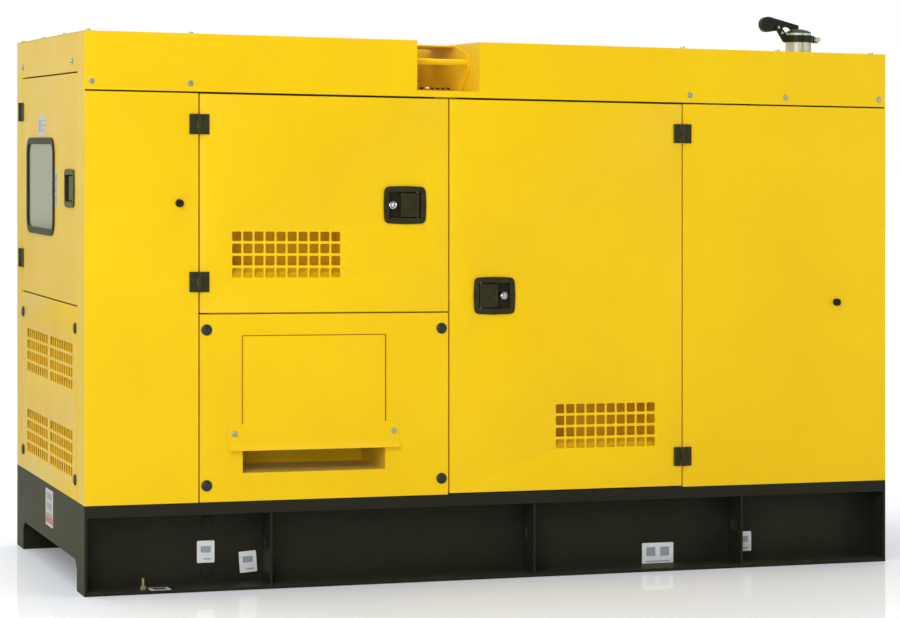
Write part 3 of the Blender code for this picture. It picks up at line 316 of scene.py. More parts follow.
def exhaust_steel(name="exhaust_steel"):
    """Satin stainless pipe with fine rings, a little straw-coloured from heat."""
    metal = Shader(name, (0.56, 0.59, 0.55), 0.5, 0.75)
    brushed = metal.noise(1.0, 3.0, 0.6, metal.stretched((30.0, 30.0, 1400.0)))
    heat = metal.remap(metal.noise(12.0, 4.0), 0.35, 0.75)
    metal.set("Base Color", metal.blend(metal.maths("MULTIPLY", heat, 0.5), (0.57, 0.60, 0.56),
                                        (0.44, 0.43, 0.35)))
    metal.set("Roughness", metal.remap(brushed, 0.3, 0.7, 0.44, 0.58))
    metal.bump(brushed, 0.03 * MM, 0.5)
    return metal.material


def cast_iron(name="exhaust_cast"):
    """Heat-dulled cast surface."""
    metal = Shader(name, (0.06, 0.052, 0.045), 0.75, 0.6)
    rust = metal.remap(metal.noise(24.0, 6.0, 0.7), 0.45, 0.75)
    metal.set("Base Color", metal.blend(metal.maths("MULTIPLY", rust, 0.7), (0.06, 0.055, 0.05),
                                        (0.16, 0.075, 0.035)))
    metal.bump(metal.noise(260.0, 4.0), 0.4 * MM, 0.7)
    return metal.material


def machine_enamel(name, colour):
    """Thick enamel on castings, oily in places."""
    paint = Shader(name, colour, 0.45)
    grime = paint.remap(paint.noise(11.0, 6.0, 0.65), 0.45, 0.75)
    dirt = tuple(0.45 * part for part in colour)
    paint.set("Base Color", paint.blend(paint.maths("MULTIPLY", grime, 0.6), colour, dirt))
    paint.set("Roughness", paint.remap(grime, 0.0, 1.0, 0.50, 0.28))
    paint.bump(paint.noise(210.0, 4.0), 0.35 * MM, 0.7)
    return paint.material


def radiator_core(name="radiator_black"):
    """Black core with fine upright fins."""
    paint = Shader(name, (0.022, 0.022, 0.024), 0.5, 0.3)
    fins = paint.node("ShaderNodeTexWave", {"bands_direction": "Y"}, Vector=paint.place,
                      Scale=95.0).outputs["Fac"]
    rows = paint.node("ShaderNodeTexWave", {"bands_direction": "Z"}, Vector=paint.place,
                      Scale=26.0).outputs["Fac"]
    pattern = paint.maths("MULTIPLY", fins, paint.maths("ADD", rows, 0.4))
    paint.set("Base Color", paint.blend(pattern, (0.006, 0.006, 0.007), (0.040, 0.040, 0.043)))
    paint.bump(pattern, 1.5 * MM, 0.8)
    return paint.material


def window_glass(name="window_glass"):
    """Grey-green acrylic pane: mostly a soft sheen, with faint dust."""
    pane = Shader(name, (0.25, 0.27, 0.19), 0.10)
    dust = pane.remap(pane.noise(20.0, 6.0), 0.4, 0.8)
    pane.set("Base Color", pane.blend(pane.maths("MULTIPLY", dust, 0.35), (0.22, 0.24, 0.165),
                                      (0.33, 0.35, 0.26)))
    pane.set("Roughness", pane.remap(dust, 0.0, 1.0, 0.07, 0.20))
    pane.set("Transmission Weight", 0.35)
    pane.set("IOR", 1.49)
    pane.bump(pane.noise(6.0, 2.0), 0.4 * MM, 0.10)
    pane.glaze((0.68, 0.70, 0.50), 0.10, 1.49)
    return pane.material


def acoustic_foam(name="acoustic_foam"):
    """Open-cell foam, charcoal."""
    foam = Shader(name, (0.035, 0.035, 0.037), 0.95)
    pores = foam.cells(420.0)
    foam.set("Base Color", foam.blend(foam.remap(pores, 0.1, 0.6), (0.018, 0.018, 0.020),
                                      (0.062, 0.062, 0.065)))
    foam.bump(pores, 1.0 * MM, 0.9)
    return foam.material


def printed_label(name, paper, ink):
    """Coated label stock with a plain printed frame tone and a little soiling."""
    label = Shader(name, paper, 0.38)
    soil = label.remap(label.noise(30.0, 5.0), 0.45, 0.80)
    label.set("Base Color", label.blend(label.maths("MULTIPLY", soil, 0.35), paper, ink))
    label.set("Roughness", label.remap(label.noise(90.0), 0.3, 0.7, 0.30, 0.50))
    label.bump(label.noise(240.0, 2.0), 0.05 * MM, 0.5)
    return label.material


def moulded(name, colour, roughness=0.4):
    """Moulded plastic with a fine spark texture and slight flow marks."""
    plastic = Shader(name, colour, roughness)
    flow = plastic.remap(plastic.noise(25.0, 3.0), 0.35, 0.7)
    darker = tuple(0.75 * part for part in colour)
    plastic.set("Base Color", plastic.blend(plastic.maths("MULTIPLY", flow, 0.5), colour, darker))
    plastic.set("Roughness", plastic.remap(plastic.noise(200.0), 0.3, 0.7, roughness - 0.08,
                                           roughness + 0.10))
    plastic.bump(plastic.noise(800.0, 2.0), 0.06 * MM, 0.6)
    return plastic.material


LOOKS = {
    "canopy_paint": canopy_paint(),
    "skid_paint": skid_paint(),
    "tank_paint": skid_paint("tank_paint", 0.6),
    "hinge_black": black_hardware("hinge_black"),
    "latch_black": black_hardware("latch_black", (0.024, 0.0215, 0.0095), 0.36),
    "lock_chrome": bare_metal("lock_chrome", (0.78, 0.78, 0.75), 0.22),
    "seal_rubber": rubber("seal_rubber", (0.013, 0.014, 0.009), 0.45),
    "window_glass": window_glass(),
    "earth_brass": bare_metal("earth_brass", (0.36, 0.31, 0.17), 0.45),
    "exhaust_steel": exhaust_steel(),
    "exhaust_cast": cast_iron(),
    "clamp_black": black_hardware("clamp_black", (0.010, 0.015, 0.012), 0.40),
    "engine_paint": machine_enamel("engine_paint", (0.15, 0.16, 0.16)),
    "alternator_paint": machine_enamel("alternator_paint", (0.085, 0.10, 0.12)),
    "radiator_black": radiator_core(),
    "fan_plastic": moulded("fan_plastic", (0.030, 0.030, 0.030), 0.45),
    "cap_plastic": moulded("cap_plastic", (0.010, 0.010, 0.0085), 0.45),
    "cabinet_paint": moulded("cabinet_paint", (0.40, 0.41, 0.40), 0.42),
    "stop_red": moulded("stop_red", (0.55, 0.018, 0.015), 0.30),
    "battery_case": moulded("battery_case", (0.022, 0.022, 0.025), 0.50),
}
# Painted shade: darkened copies of the yellow for the trays seen in shadow behind the front, rear and
# end grilles.
SHADED_COAT = canopy_paint("shaded_coat", 0.86)
VENT_SHADED_COAT = canopy_paint("vent_shaded_coat", 0.90)
# Painted shade: a much darker yellow for the strip that stands in for the shadow gap round the cable
# cover; it also colours one amber lamp.
SHADOW_GAP_AND_LAMP_AMBER = canopy_paint("shadow_gap_and_lamp_amber", 0.35)
ZINC = bare_metal("zinc_plate", (0.50, 0.51, 0.42), 0.38, (40.0, 40.0, 40.0))
FOAM = acoustic_foam()
HOSE = rubber("hose_rubber", (0.012, 0.012, 0.012))
LABEL = printed_label("label_white", (0.74, 0.76, 0.75), (0.45, 0.47, 0.48))
LABEL_AGED = printed_label("label_aged", (0.60, 0.585, 0.45), (0.42, 0.33, 0.25))
LABEL_RED = printed_label("label_red", (0.50, 0.13, 0.08), (0.38, 0.16, 0.10))
LABEL_DARK = printed_label("label_dark", (0.045, 0.048, 0.050), (0.09, 0.09, 0.085))
LABEL_GREY = printed_label("label_grey", (0.30, 0.31, 0.33), (0.16, 0.17, 0.19))
LABEL_INK = printed_label("label_ink", (0.30, 0.33, 0.38), (0.18, 0.20, 0.24))
DISPLAY = moulded("display_face", (0.020, 0.045, 0.040), 0.18)


# ---- pieces -------------------------------------------------------------------
def piece(name, mesh, matrix, material, body=ROOT, smooth=30):
    """Put a finished mesh in the scene on a body, shaded smooth up to an angle."""
    made = bpy.data.objects.new(name, mesh)
    bpy.context.scene.collection.objects.link(made)
    made.matrix_world = matrix
    if not mesh.materials:
        mesh.materials.append(material)
    mesh.shade_smooth()
    mesh.set_sharp_from_angle(angle=math.radians(smooth))
    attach(made, body)
    return made


def mesh_from(build, name):
    """Make a mesh with a function that fills a bmesh."""
    work = bmesh.new()
    build(work)
    bmesh.ops.recalc_face_normals(work, faces=work.faces)
    mesh = bpy.data.meshes.new(name)
    work.to_mesh(mesh)
    work.free()
    return mesh


def add_box(work, a, b, c):
    """Add a box that fills three spans to a bmesh."""
    cube = bmesh.ops.create_cube(work, size=1.0)["verts"]
    bmesh.ops.scale(work, vec=(a[1] - a[0], b[1] - b[0], c[1] - c[0]), verts=cube)
    middle = [(low + high) / 2 for low, high in (a, b, c)]
    bmesh.ops.translate(work, vec=middle, verts=cube)
    return cube


def round_edges(made, width, segments=2, angle=30):
    """A small rounding on a piece's edges."""
    edge = made.modifiers.new("edges", "BEVEL")
    edge.width = width
    edge.segments = segments
    edge.limit_method = "ANGLE"
    edge.angle_limit = math.radians(angle)
    edge.harden_normals = False
    return made


def around(centre, size):
    """The span of a given size about its centre."""
    return (centre - size / 2, centre + size / 2)


def block(name, place, a, b, c, material, body=ROOT, edge=0.001):
    """A box with rounded edges."""
    mesh = mesh_from(lambda work: add_box(work, a, b, c), name)
    return round_edges(piece(name, mesh, place.at(), material, body), edge)


def turned(name, place, profile, material, body=ROOT, steps=32):
    """A turned piece about the frame's c axis; profile is (radius, height) points."""

    def build(work):
        rings = []
        for radius, height in profile:
            count = 1 if radius == 0.0 else steps
            rings.append([work.verts.new((radius * math.cos(math.tau * step / count),
                                          radius * math.sin(math.tau * step / count), height))
                          for step in range(count)])
        for first, second in zip(rings, rings[1:]):
            for step in range(steps):
                after = (step + 1) % steps
                corners = [first[step % len(first)], first[after % len(first)],
                           second[after % len(second)], second[step % len(second)]]
                unique = list(dict.fromkeys(corners))
                if len(unique) > 2:
                    work.faces.new(unique)

    return piece(name, mesh_from(build, name), place.at(), material, body, 35)


def rounded(a, b, radius, steps=3):
    """A rectangle's outline with round corners, anticlockwise."""
    points = []
    corners = ((a[1], b[1], 0), (a[0], b[1], 90), (a[0], b[0], 180), (a[1], b[0], 270))
    for corner_a, corner_b, start in corners:
        inward_a = -radius if corner_a == a[1] else radius
        inward_b = -radius if corner_b == b[1] else radius
        for step in range(steps + 1):
            angle = math.radians(start + 90 * step / steps)
            points.append((corner_a + inward_a + radius * math.cos(angle),
                           corner_b + inward_b + radius * math.sin(angle)))
    return points


def sheet_mesh(name, outline, holes, thick, edge=0.0):
    """A flat sheet with holes, as a mesh: its front at c = 0, edges slightly eased."""
    curve = bpy.data.curves.new(name, "CURVE")
    curve.dimensions = "2D"
    curve.fill_mode = "BOTH"
    curve.extrude = thick / 2 - edge
    curve.bevel_depth = edge
    curve.offset = -edge
    curve.bevel_resolution = 1
    for loop in (outline, *holes):
        spline = curve.splines.new("POLY")
        spline.points.add(len(loop) - 1)
        for point, (a, b) in zip(spline.points, loop):
            point.co = (a, b, 0.0, 1.0)
        spline.use_cyclic_u = True
    drawn = bpy.data.objects.new(name, curve)
    bpy.context.scene.collection.objects.link(drawn)
    graph = bpy.context.evaluated_depsgraph_get()
    mesh = bpy.data.meshes.new_from_object(drawn.evaluated_get(graph))
    bpy.data.objects.remove(drawn)
    bpy.data.curves.remove(curve)
    work = bmesh.new()
    work.from_mesh(mesh)
    bmesh.ops.remove_doubles(work, verts=work.verts, dist=0.00001)
    bmesh.ops.translate(work, vec=(0, 0, -thick / 2), verts=work.verts)
    bmesh.ops.recalc_face_normals(work, faces=work.faces)
    work.to_mesh(mesh)
    work.free()
    mesh.materials.clear()
    return mesh


# ---- CAD nodes: looks and eased edges ------------------------------------------
SLOT_OF = {entry["node"]: entry["material_slot"] for entry in frame["record"]["subparts"]}
EDGE_OF = {"canopy_paint": 0.0009, "skid_paint": 0.0012, "tank_paint": 0.003,
           "hinge_black": 0.0004, "latch_black": 0.0006, "lock_chrome": 0.0005,
           "seal_rubber": 0.0012, "clamp_black": 0.0006, "engine_paint": 0.004,
           "cabinet_paint": 0.0015, "radiator_black": 0.0015, "exhaust_steel": 0.0006}


def dress_cad_nodes():
    """Give every CAD node its material, and ease its hard edges."""
    for name, node in frame["nodes"].items():
        slot = SLOT_OF[name]
        node.data.materials.clear()
        node.data.materials.append(LOOKS[slot])
        weld = node.modifiers.new("weld", "WELD")
        weld.merge_threshold = 0.00002
        if slot in EDGE_OF:
            round_edges(node, EDGE_OF[slot], 2, 40)
        smooth = node.modifiers.new("soft", "WEIGHTED_NORMAL")
        smooth.keep_sharp = True


dress_cad_nodes()


# ---- fasteners and small fittings -----------------------------------------------
def bolt_mesh():
    """A flanged hex bolt head on its washer."""

    def build(work):
        for steps, radius, low, high, top in ((28, 0.0078, 0.0, 0.0014, 0.0074),
                                              (6, 0.0062, 0.0014, 0.0052, 0.0056)):
            bmesh.ops.create_cone(
                work, cap_ends=True, segments=steps, radius1=radius, radius2=top,
                depth=high - low, matrix=Matrix.Translation((0, 0, (low + high) / 2)))

    return mesh_from(build, "bolt_head")


BOLT = bolt_mesh()


def bolt(name, place, a, b, c=0.0, body=ROOT):
    """One bolt head on a face."""
    made = piece(name, BOLT, place.at(a, b, c), ZINC, body)
    return round_edges(made, 0.0007, 2, 25)


def dome_profile(radius, height, steps=5):
    """A low dome's profile, from its crown down to its rim and back to the axis."""
    points = [(0.0, height)]
    for step in range(1, steps + 1):
        angle = math.radians(90 * step / steps)
        points.append((radius * math.sin(angle), height * (0.35 + 0.65 * math.cos(angle))))
    return points + [(radius, 0.0), (0.0, 0.0)]


def plug(name, place, a, b, body=ROOT):
    """A black plastic plug over a lift-off screw."""
    profile = [(0.0, 0.0048), (0.0055, 0.0050), (0.0105, 0.0044), (0.0132, 0.0030),
               (0.0140, 0.0012), (0.0140, 0.0), (0.0, 0.0)]
    return turned(name, place.moved(a, b), profile, LOOKS["cap_plastic"], body)


def bumper(name, place, a, b, body=ROOT):
    """A rubber door stop with its screw."""
    profile = [(0.0, 0.0095), (0.0035, 0.0095), (0.0038, 0.0125), (0.0075, 0.0125),
               (0.0092, 0.0105), (0.0102, 0.0), (0.0, 0.0)]
    return turned(name, place.moved(a, b), profile, LOOKS["seal_rubber"], body)


def add_roof_and_band_bolts():
    """Bolts along the roof band, on the roof's edges and on the end panels."""
    band_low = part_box("roof_cover")[0].z
    height = band_low + 0.020
    for number, x in enumerate((-1.082, -0.836, 0.516, 0.797, 1.080)):
        bolt(f"band_bolt_front_{number}", FRONT, x, height)
        bolt(f"band_bolt_rear_{number}", REAR, -x, height)
    rows = ((-1.086, -0.418), (-1.086, -0.140), (-1.086, 0.140), (-1.086, 0.418),
            (0.504, -0.418), (0.785, -0.418), (1.067, -0.418), (0.504, 0.418),
            (0.785, 0.418), (1.067, 0.418), (1.067, -0.140), (1.067, 0.140),
            (-0.560, 0.418), (-0.830, -0.418), (-0.830, 0.418))
    for number, (x, y) in enumerate(rows):
        bolt(f"roof_bolt_{number}", ROOF, x, y)
    span, _ = span_of("end_top_panel", CONTROL_END)
    for number, a in enumerate((span[1] - 0.055, span[0] + 0.013)):
        bolt(f"end_top_bolt_{number}", CONTROL_END, a, 1.305)
    for number, (a, b) in enumerate(((-0.335, 0.260), (0.335, 0.260), (-0.335, 0.790),
                                     (0.335, 0.790), (-0.335, 1.330), (0.335, 1.330))):
        bolt(f"outlet_bolt_{number}", OUTLET_END, a, b)
    for number, x in enumerate((-0.724, -0.309)):
        bolt(f"cover_bolt_{number}", FRONT, x, 0.387, SHEET + REST)


def add_plugs_and_bumpers():
    """Plastic plugs on the lift-off panels, and the doors' rubber stops."""
    for number, (x, z) in enumerate(((-0.795, 0.645), (-0.180, 0.644), (-0.795, 0.261),
                                     (-0.180, 0.262))):
        plug(f"service_plug_{number}", FRONT, x, z)
        plug(f"rear_plug_{number}", REAR, -x, z if z < 0.5 else 1.190)
    for number, (a, b) in enumerate(((0.335, 0.645), (-0.345, 0.645), (0.335, 0.272),
                                     (-0.345, 0.272))):
        plug(f"vent_plug_{number}", CONTROL_END, a, b)
    bumper("bumper_front_left", FRONT, -0.864, 0.957)
    bumper("bumper_front_right", FRONT, 0.950, 0.704)
    bumper("bumper_rear", REAR, -0.950, 0.704)


add_roof_and_band_bolts()
add_plugs_and_bumpers()

# ---- grilles, the cover's shadow strip and labels ---------------------------------
GRILLE_SPAN = 9 * 0.0285 + 0.0235
GRILLE_TALL = 3 * 0.0302 + 0.0235
BAFFLE_DEEP = 0.085


def baffle(name, place, a, b, body=ROOT, deep=BAFFLE_DEEP, slope=0.025, look=None):
    """A folded tray behind a grille that turns rain and noise away.

    Its floor rises from below the lowest row of holes to the back plate.
    """
    wide = GRILLE_SPAN / 2 + 0.012
    low, high = -GRILLE_TALL / 2 - 0.001, GRILLE_TALL / 2 + 0.012
    section = ((low, 0.0), (low + slope, -slope), (low + slope, -deep), (high, -deep),
               (high, 0.0))

    def build(work):
        rows = [[work.verts.new((side, b_now, c_now)) for b_now, c_now in section]
                for side in (-wide, wide)]
        for left, right, left_next, right_next in zip(rows[0], rows[1], rows[0][1:], rows[1][1:]):
            work.faces.new((left, right, right_next, left_next))
        for row in rows:
            work.faces.new(row)

    mesh = mesh_from(build, name)
    # Painted shade: the tray's default coat is the darkened yellow, for its shadowed inside.
    made = piece(name, mesh, place.at(a, b, -SHEET - 0.0006), look or SHADED_COAT, body)
    skin = made.modifiers.new("sheet", "SOLIDIFY")
    skin.thickness = 0.0012
    skin.offset = 0.0
    return made


def add_baffles():
    """One tray behind every grille."""
    baffle("baffle_front_left", FRONT, -0.590, 0.831, "front_left_door")
    baffle("baffle_front_right", FRONT, 0.2745, 0.387, "front_right_door")
    baffle("baffle_rear", REAR, -0.2745, 0.387, "rear_door")
    for number, (a, b) in enumerate(((-0.155, 0.331), (0.157, 0.331), (-0.155, 0.547),
                                     (0.157, 0.547))):
        # The end trays take a less darkened yellow, painted shade as well.
        baffle(f"baffle_end_{number}", CONTROL_END, a, b, deep=0.040, slope=0.001,
               look=VENT_SHADED_COAT)


def add_cover_shadow_strip():
    """A dark strip round the cable cover's upper part: painted shade that stands in for the shadow
    gap between the cover and the panel.
    """
    (left, right), (_, top) = (-0.703, -0.332), (0.0, 0.629)
    outer = [(left - 0.0018, 0.4115), (left - 0.0018, top + 0.0018),
             (right + 0.0026, top + 0.0018), (right + 0.0026, 0.4115)]
    inner = [(left + 0.006, 0.4115), (left + 0.006, top - 0.006),
             (right - 0.006, top - 0.006), (right - 0.006, 0.4115)]
    mesh = sheet_mesh("cover_shadow_strip", outer + inner[::-1], [], 0.0018)
    return piece("cover_shadow_strip", mesh, FRONT.at(0, 0, 0.0019), SHADOW_GAP_AND_LAMP_AMBER)


def label(name, place, a, b, wide, tall, marks=(), tilt=0.0, paper=None, body=ROOT):
    """A blank sticker with plain printed bars; marks are (a, b, wide, tall) from its centre."""
    turn = place.at(a, b, 0.0) @ Matrix.Rotation(math.radians(tilt), 4, "Z")
    outline = rounded(around(0, wide), around(0, tall), 0.003)
    back = sheet_mesh(name, outline, [], 0.0004)
    piece(name, back, turn @ Matrix.Translation((0, 0, 0.0005)), paper or LABEL, body)
    for number, (mark_a, mark_b, mark_wide, mark_tall) in enumerate(marks):
        bar = sheet_mesh(f"{name}_bar_{number}",
                         rounded(around(mark_a, mark_wide), around(mark_b, mark_tall), 0.001),
                         [], 0.0002)
        piece(f"{name}_bar_{number}", bar, turn @ Matrix.Translation((0, 0, 0.0008)), LABEL_INK,
              body)


add_baffles()
add_cover_shadow_strip()


# ---- punched panels: the CAD panels with their air holes rounded ----------------------
HOLE = 0.0235
PITCH_A, PITCH_B = 0.0285, 0.0302
HOLE_CORNER = 0.0032
LATCH_CUT = (0.0986, 0.0806)


def grille_holes(a, b):
    """The outlines of one grille's ten by four round-cornered holes."""
    return [rounded(around(a + (column - 4.5) * PITCH_A, HOLE),
                    around(b + (row - 1.5) * PITCH_B, HOLE), HOLE_CORNER, 2)
            for column in range(10) for row in range(4)]


def punched_panel(node, place, grilles, latch_at=None, body=ROOT):
    """A folded panel in place of a CAD one, with the same face, returns and openings."""
    (left, right), (low, high) = span_of(node, place)
    holes = [loop for spot in grilles for loop in grille_holes(*spot)]
    if latch_at:
        holes.append(rounded(around(latch_at[0], LATCH_CUT[0]), around(latch_at[1], LATCH_CUT[1]),
                             0.0005, 1))
    outline = rounded((left, right), (low, high), 0.0010, 2)
    mesh = sheet_mesh(node + "_face", outline, holes, SHEET, 0.0004)
    work = bmesh.new()
    work.from_mesh(mesh)
    for a, b in (((left, left + SHEET), (low, high)), ((right - SHEET, right), (low, high)),
                 ((left, right), (low, low + SHEET)), ((left, right), (high - SHEET, high))):
        add_box(work, a, b, (-RETURN, -SHEET * 0.6))
    work.to_mesh(mesh)
    work.free()
    made = piece(node + "_punched", mesh, place.at(), LOOKS["canopy_paint"], body)
    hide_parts(node)
    return made


RETURN = 0.020
STACK_AT = (0.927, -0.265)
LINING = 0.016
LINING_INSET = 0.004


def lining(name, node, place, openings, body=ROOT, thick=LINING):
    """A foam slab behind a panel's face, cut out round its fittings."""
    spans = span_of(node, place)
    (left, right), (low, high) = [(span[0] + LINING_INSET, span[1] - LINING_INSET)
                                  for span in spans]
    holes = [rounded(a, b, 0.004, 1) for a, b in openings]
    mesh = sheet_mesh(name, rounded((left, right), (low, high), 0.006, 2), holes, thick, 0.0015)
    return piece(name, mesh, place.at(0, 0, -SHEET - REST), FOAM, body)


def door_seal(name, node, place, body):
    """A rubber strip round the back of a door."""
    (left, right), (low, high) = span_of(node, place)
    outer = rounded((left + 0.003, right - 0.003), (low + 0.003, high - 0.003), 0.008)
    inner = rounded((left + 0.016, right - 0.016), (low + 0.016, high - 0.016), 0.004)
    mesh = sheet_mesh(name, outer, [inner], 0.0030, 0.0008)
    return piece(name, mesh, place.at(0, 0, -RETURN - REST), LOOKS["seal_rubber"], body)


def add_roof_lining():
    """Foam under the roof, in two slabs beside the channel, open round the outlet pipe."""
    spot_x, spot_y = STACK_AT
    gap = [(spot_x + 0.065 * math.cos(math.tau * step / 32),
            spot_y + 0.065 * math.sin(math.tau * step / 32)) for step in range(32)]
    channel_low, channel_high = -0.245, -0.076
    for side, span, holes in (("left", (LEFT_X + 0.030, channel_low - 0.012), []),
                              ("right", (channel_high + 0.012, RIGHT_X - 0.050), [gap])):
        mesh = sheet_mesh(f"roof_lining_{side}", rounded(span, (-0.405, 0.405), 0.008), holes,
                          0.020, 0.002)
        piece(f"roof_lining_{side}", mesh, ROOF.at(0, 0, -SHEET - REST), FOAM)


def around_grille(a, b):
    """The opening that a baffle needs in a lining."""
    return (around(a, GRILLE_SPAN + 0.032), around(b, GRILLE_TALL + 0.034))


def around_latch(a, b):
    """The opening that a latch body needs in a lining."""
    return (around(a, 0.108), around(b, 0.090))


def add_punched_panels_and_linings():
    """The grille-bearing panels, and foam inside every door and side panel."""
    punched_panel("door_front_left", FRONT, [(-0.590, 0.831)], (-0.279, 0.9565),
                  "front_left_door")
    punched_panel("door_front_right", FRONT, [(0.2745, 0.387)], (-0.0365, 0.726),
                  "front_right_door")
    punched_panel("door_rear", REAR, [(-0.2745, 0.387)], (0.0365, 0.726), "rear_door")
    vents = [(a, b) for a in (-0.155, 0.157) for b in (0.331, 0.547)]
    punched_panel("end_vent_panel", CONTROL_END, vents)
    lining("lining_front_left", "door_front_left", FRONT,
           [around_grille(-0.590, 0.831), around_latch(-0.279, 0.9565)], "front_left_door")
    lining("lining_front_right", "door_front_right", FRONT,
           [around_grille(0.2745, 0.387), around_latch(-0.0365, 0.726)], "front_right_door")
    lining("lining_rear", "door_rear", REAR,
           [around_grille(-0.2745, 0.387), around_latch(0.0365, 0.726)], "rear_door")
    lining("lining_control", "door_control", CONTROL_END,
           [((-0.292, 0.084), (0.857, 1.120)), around_latch(0.270, 0.9885)], "control_door")
    lining("lining_rear_side", "rear_side_panel", REAR, [])
    for side, node, place in (("front_left", "door_front_left", FRONT),
                              ("front_right", "door_front_right", FRONT),
                              ("rear", "door_rear", REAR),
                              ("control", "door_control", CONTROL_END)):
        door_seal(f"door_seal_{side}", node, place, f"{side}_door")
    add_roof_lining()


add_punched_panels_and_linings()


# ---- stickers, web fittings and small hardware ---------------------------------------
WEB_DEPTH = 0.085         # the skid's web behind its front face
FLANGE = 0.008            # thickness of the skid's bottom flange
WEB_FACE = Place((0, SKID_LOW.y + WEB_DEPTH, 0), X, Z, -Y)
REAR_WEB_FACE = Place((0, SKID_HIGH.y - WEB_DEPTH, 0), -X, Z, Y)
SKID_END_FACE = Place((SKID_LOW.x, 0, 0), -Y, Z, -X)


def add_stickers():
    """Blank stickers with plain bars, on the skid, by the earth stud and on the end."""
    bars = ((0.0, 0.006, 0.026, 0.016), (0.004, -0.018, 0.020, 0.003))
    label("web_label_0", WEB_FACE, -0.7755, 0.0855, 0.045, 0.055, bars)
    label("web_label_1", WEB_FACE, -0.6665, 0.0565, 0.045, 0.053, bars, 4.0)
    double = ((-0.020, 0.006, 0.026, 0.024), (0.020, 0.006, 0.026, 0.024),
              (0.0, -0.020, 0.070, 0.003))
    label("web_label_2", WEB_FACE, 0.4615, 0.033, 0.091, 0.058, double)
    label("web_label_3", WEB_FACE, 0.7150, 0.0565, 0.045, 0.053, bars)
    flange_top = Place((0, SKID_LOW.y, SKID_LOW.z + FLANGE), X, Y, Z)
    label("earth_label", flange_top, -0.9085, 0.024, 0.052, 0.040, (), paper=LABEL)
    label("earth_label_symbol", flange_top.moved(0, 0, 0.0004), -0.9085, 0.024, 0.032, 0.022,
          (), paper=LABEL_DARK)
    label("rear_label", REAR_WEB_FACE, 0.300, 0.070, 0.045, 0.055, bars)
    label("end_label_top", CONTROL_END, -(FRONT_Y + 0.5285), 1.146, 0.103, 0.054,
          ((-0.028, 0.0, 0.022, 0.030), (0.016, 0.012, 0.050, 0.003), (0.016, 0.0, 0.050, 0.003),
           (0.010, -0.012, 0.038, 0.003)), 3.0, LABEL_AGED, "control_door")
    label("end_label_strip", CONTROL_END, -(FRONT_Y + 0.343), 0.985, 0.030, 0.094,
          ((0.0, 0.026, 0.016, 0.020), (0.0, -0.002, 0.016, 0.020), (0.0, -0.030, 0.016, 0.020)),
          0.0, LABEL_AGED, "control_door")
    at = -(FRONT_Y + 0.4305)
    label("end_label_base", SKID_END_FACE, at, 0.1595, 0.095, 0.095,
          ((0.0, 0.030, 0.060, 0.018), (0.0, 0.004, 0.060, 0.018), (0.0, -0.018, 0.070, 0.010)),
          paper=LABEL_AGED)
    label("end_label_stripe", SKID_END_FACE.moved(0, 0, 0.0004), at, 0.1275, 0.088, 0.016, (),
          paper=LABEL_RED)


def add_web_fittings():
    """Blanking plugs over the holes in the skid's webs, painted over with the skid."""
    profile = [(0.0, 0.0060), (0.0090, 0.0060), (0.0105, 0.0045), (0.0150, 0.0040),
               (0.0160, 0.0020), (0.0160, 0.0), (0.0, 0.0)]
    for face, side in ((WEB_FACE, "front"), (REAR_WEB_FACE, "rear")):
        for number, height in enumerate((0.158, 0.036)):
            turned(f"web_plug_{side}_{number}", face.moved(-0.7735, height), profile,
                   LOOKS["skid_paint"])


def upright_pin(name, place, a, b_span, c, radius, body):
    """A bright pin that stands along b."""
    low, high = b_span
    profile = [(0.0, high), (radius * 0.7, high), (radius, high - 0.0006), (radius, low + 0.0006),
               (radius * 0.7, low), (0.0, low)]
    upright = Place(place.at(a, 0, c).translation, place.axes.col[2], place.axes.col[0],
                    place.axes.col[1])
    return turned(name, upright, profile, ZINC, body, 16)


LATCHES = (("front_left", FRONT, -0.279, 0.9565, 1), ("front_right", FRONT, -0.0365, 0.726, -1),
           ("rear", REAR, 0.0365, 0.726, 1), ("control", CONTROL_END, 0.270, 0.9885, 1))


def add_latch_details():
    """The ends of the paddles' axis pins, and a chrome ring round each lock."""
    for side, face, a, b, hand in LATCHES:
        place = face.moved(a, b)
        door = f"{side}_door"
        for end, sign in (("low", -1), ("high", 1)):
            upright_pin(f"paddle_pin_{end}_{side}", place, hand * 0.0360,
                        sorted((sign * 0.0309, sign * 0.0333)), -0.0040, 0.0024, door)
        if side == "control":
            continue
        ring = [(0.0074, -0.0062), (0.0074, -0.0040), (0.0082, -0.0033), (0.0096, -0.0038),
                (0.0101, -0.0062)]
        turned(f"lock_ring_{side}", place.moved(hand * -0.030, 0), ring, LOOKS["lock_chrome"],
               door)


def add_rain_cap_details():
    """The hinge pin and clamp bolt of the rain cap, both bright against the black parts."""
    stack = Place((0.927, -0.265, 0), X, Z, -Y)
    for number, (a, b) in enumerate(((-0.0633, 1.448), (-0.0530, 1.433))):
        pin = [(0.0, 0.0096), (0.0026, 0.0092), (0.0036, 0.0080), (0.0036, 0.0066), (0.0, 0.0066)]
        turned(f"cap_pin_{number}", stack.moved(a, b), pin, ZINC)
    clamp = stack.moved(0.0520, 1.4165)
    bolt("clamp_bolt", clamp, 0, 0, 0.007)
    nut = Place(clamp.at(0, 0, -0.007).translation, -X, Z, Y)
    bolt("clamp_nut", nut, 0, 0)
    fold = [(0.0, 0.012), (0.0040, 0.0115), (0.0052, 0.009), (0.0052, 0.0), (0.0, 0.0)]
    turned("clamp_bolt_end", Place(stack.at(0.0550, 1.4190, 0.0).translation, Y, Z, X), fold, ZINC)


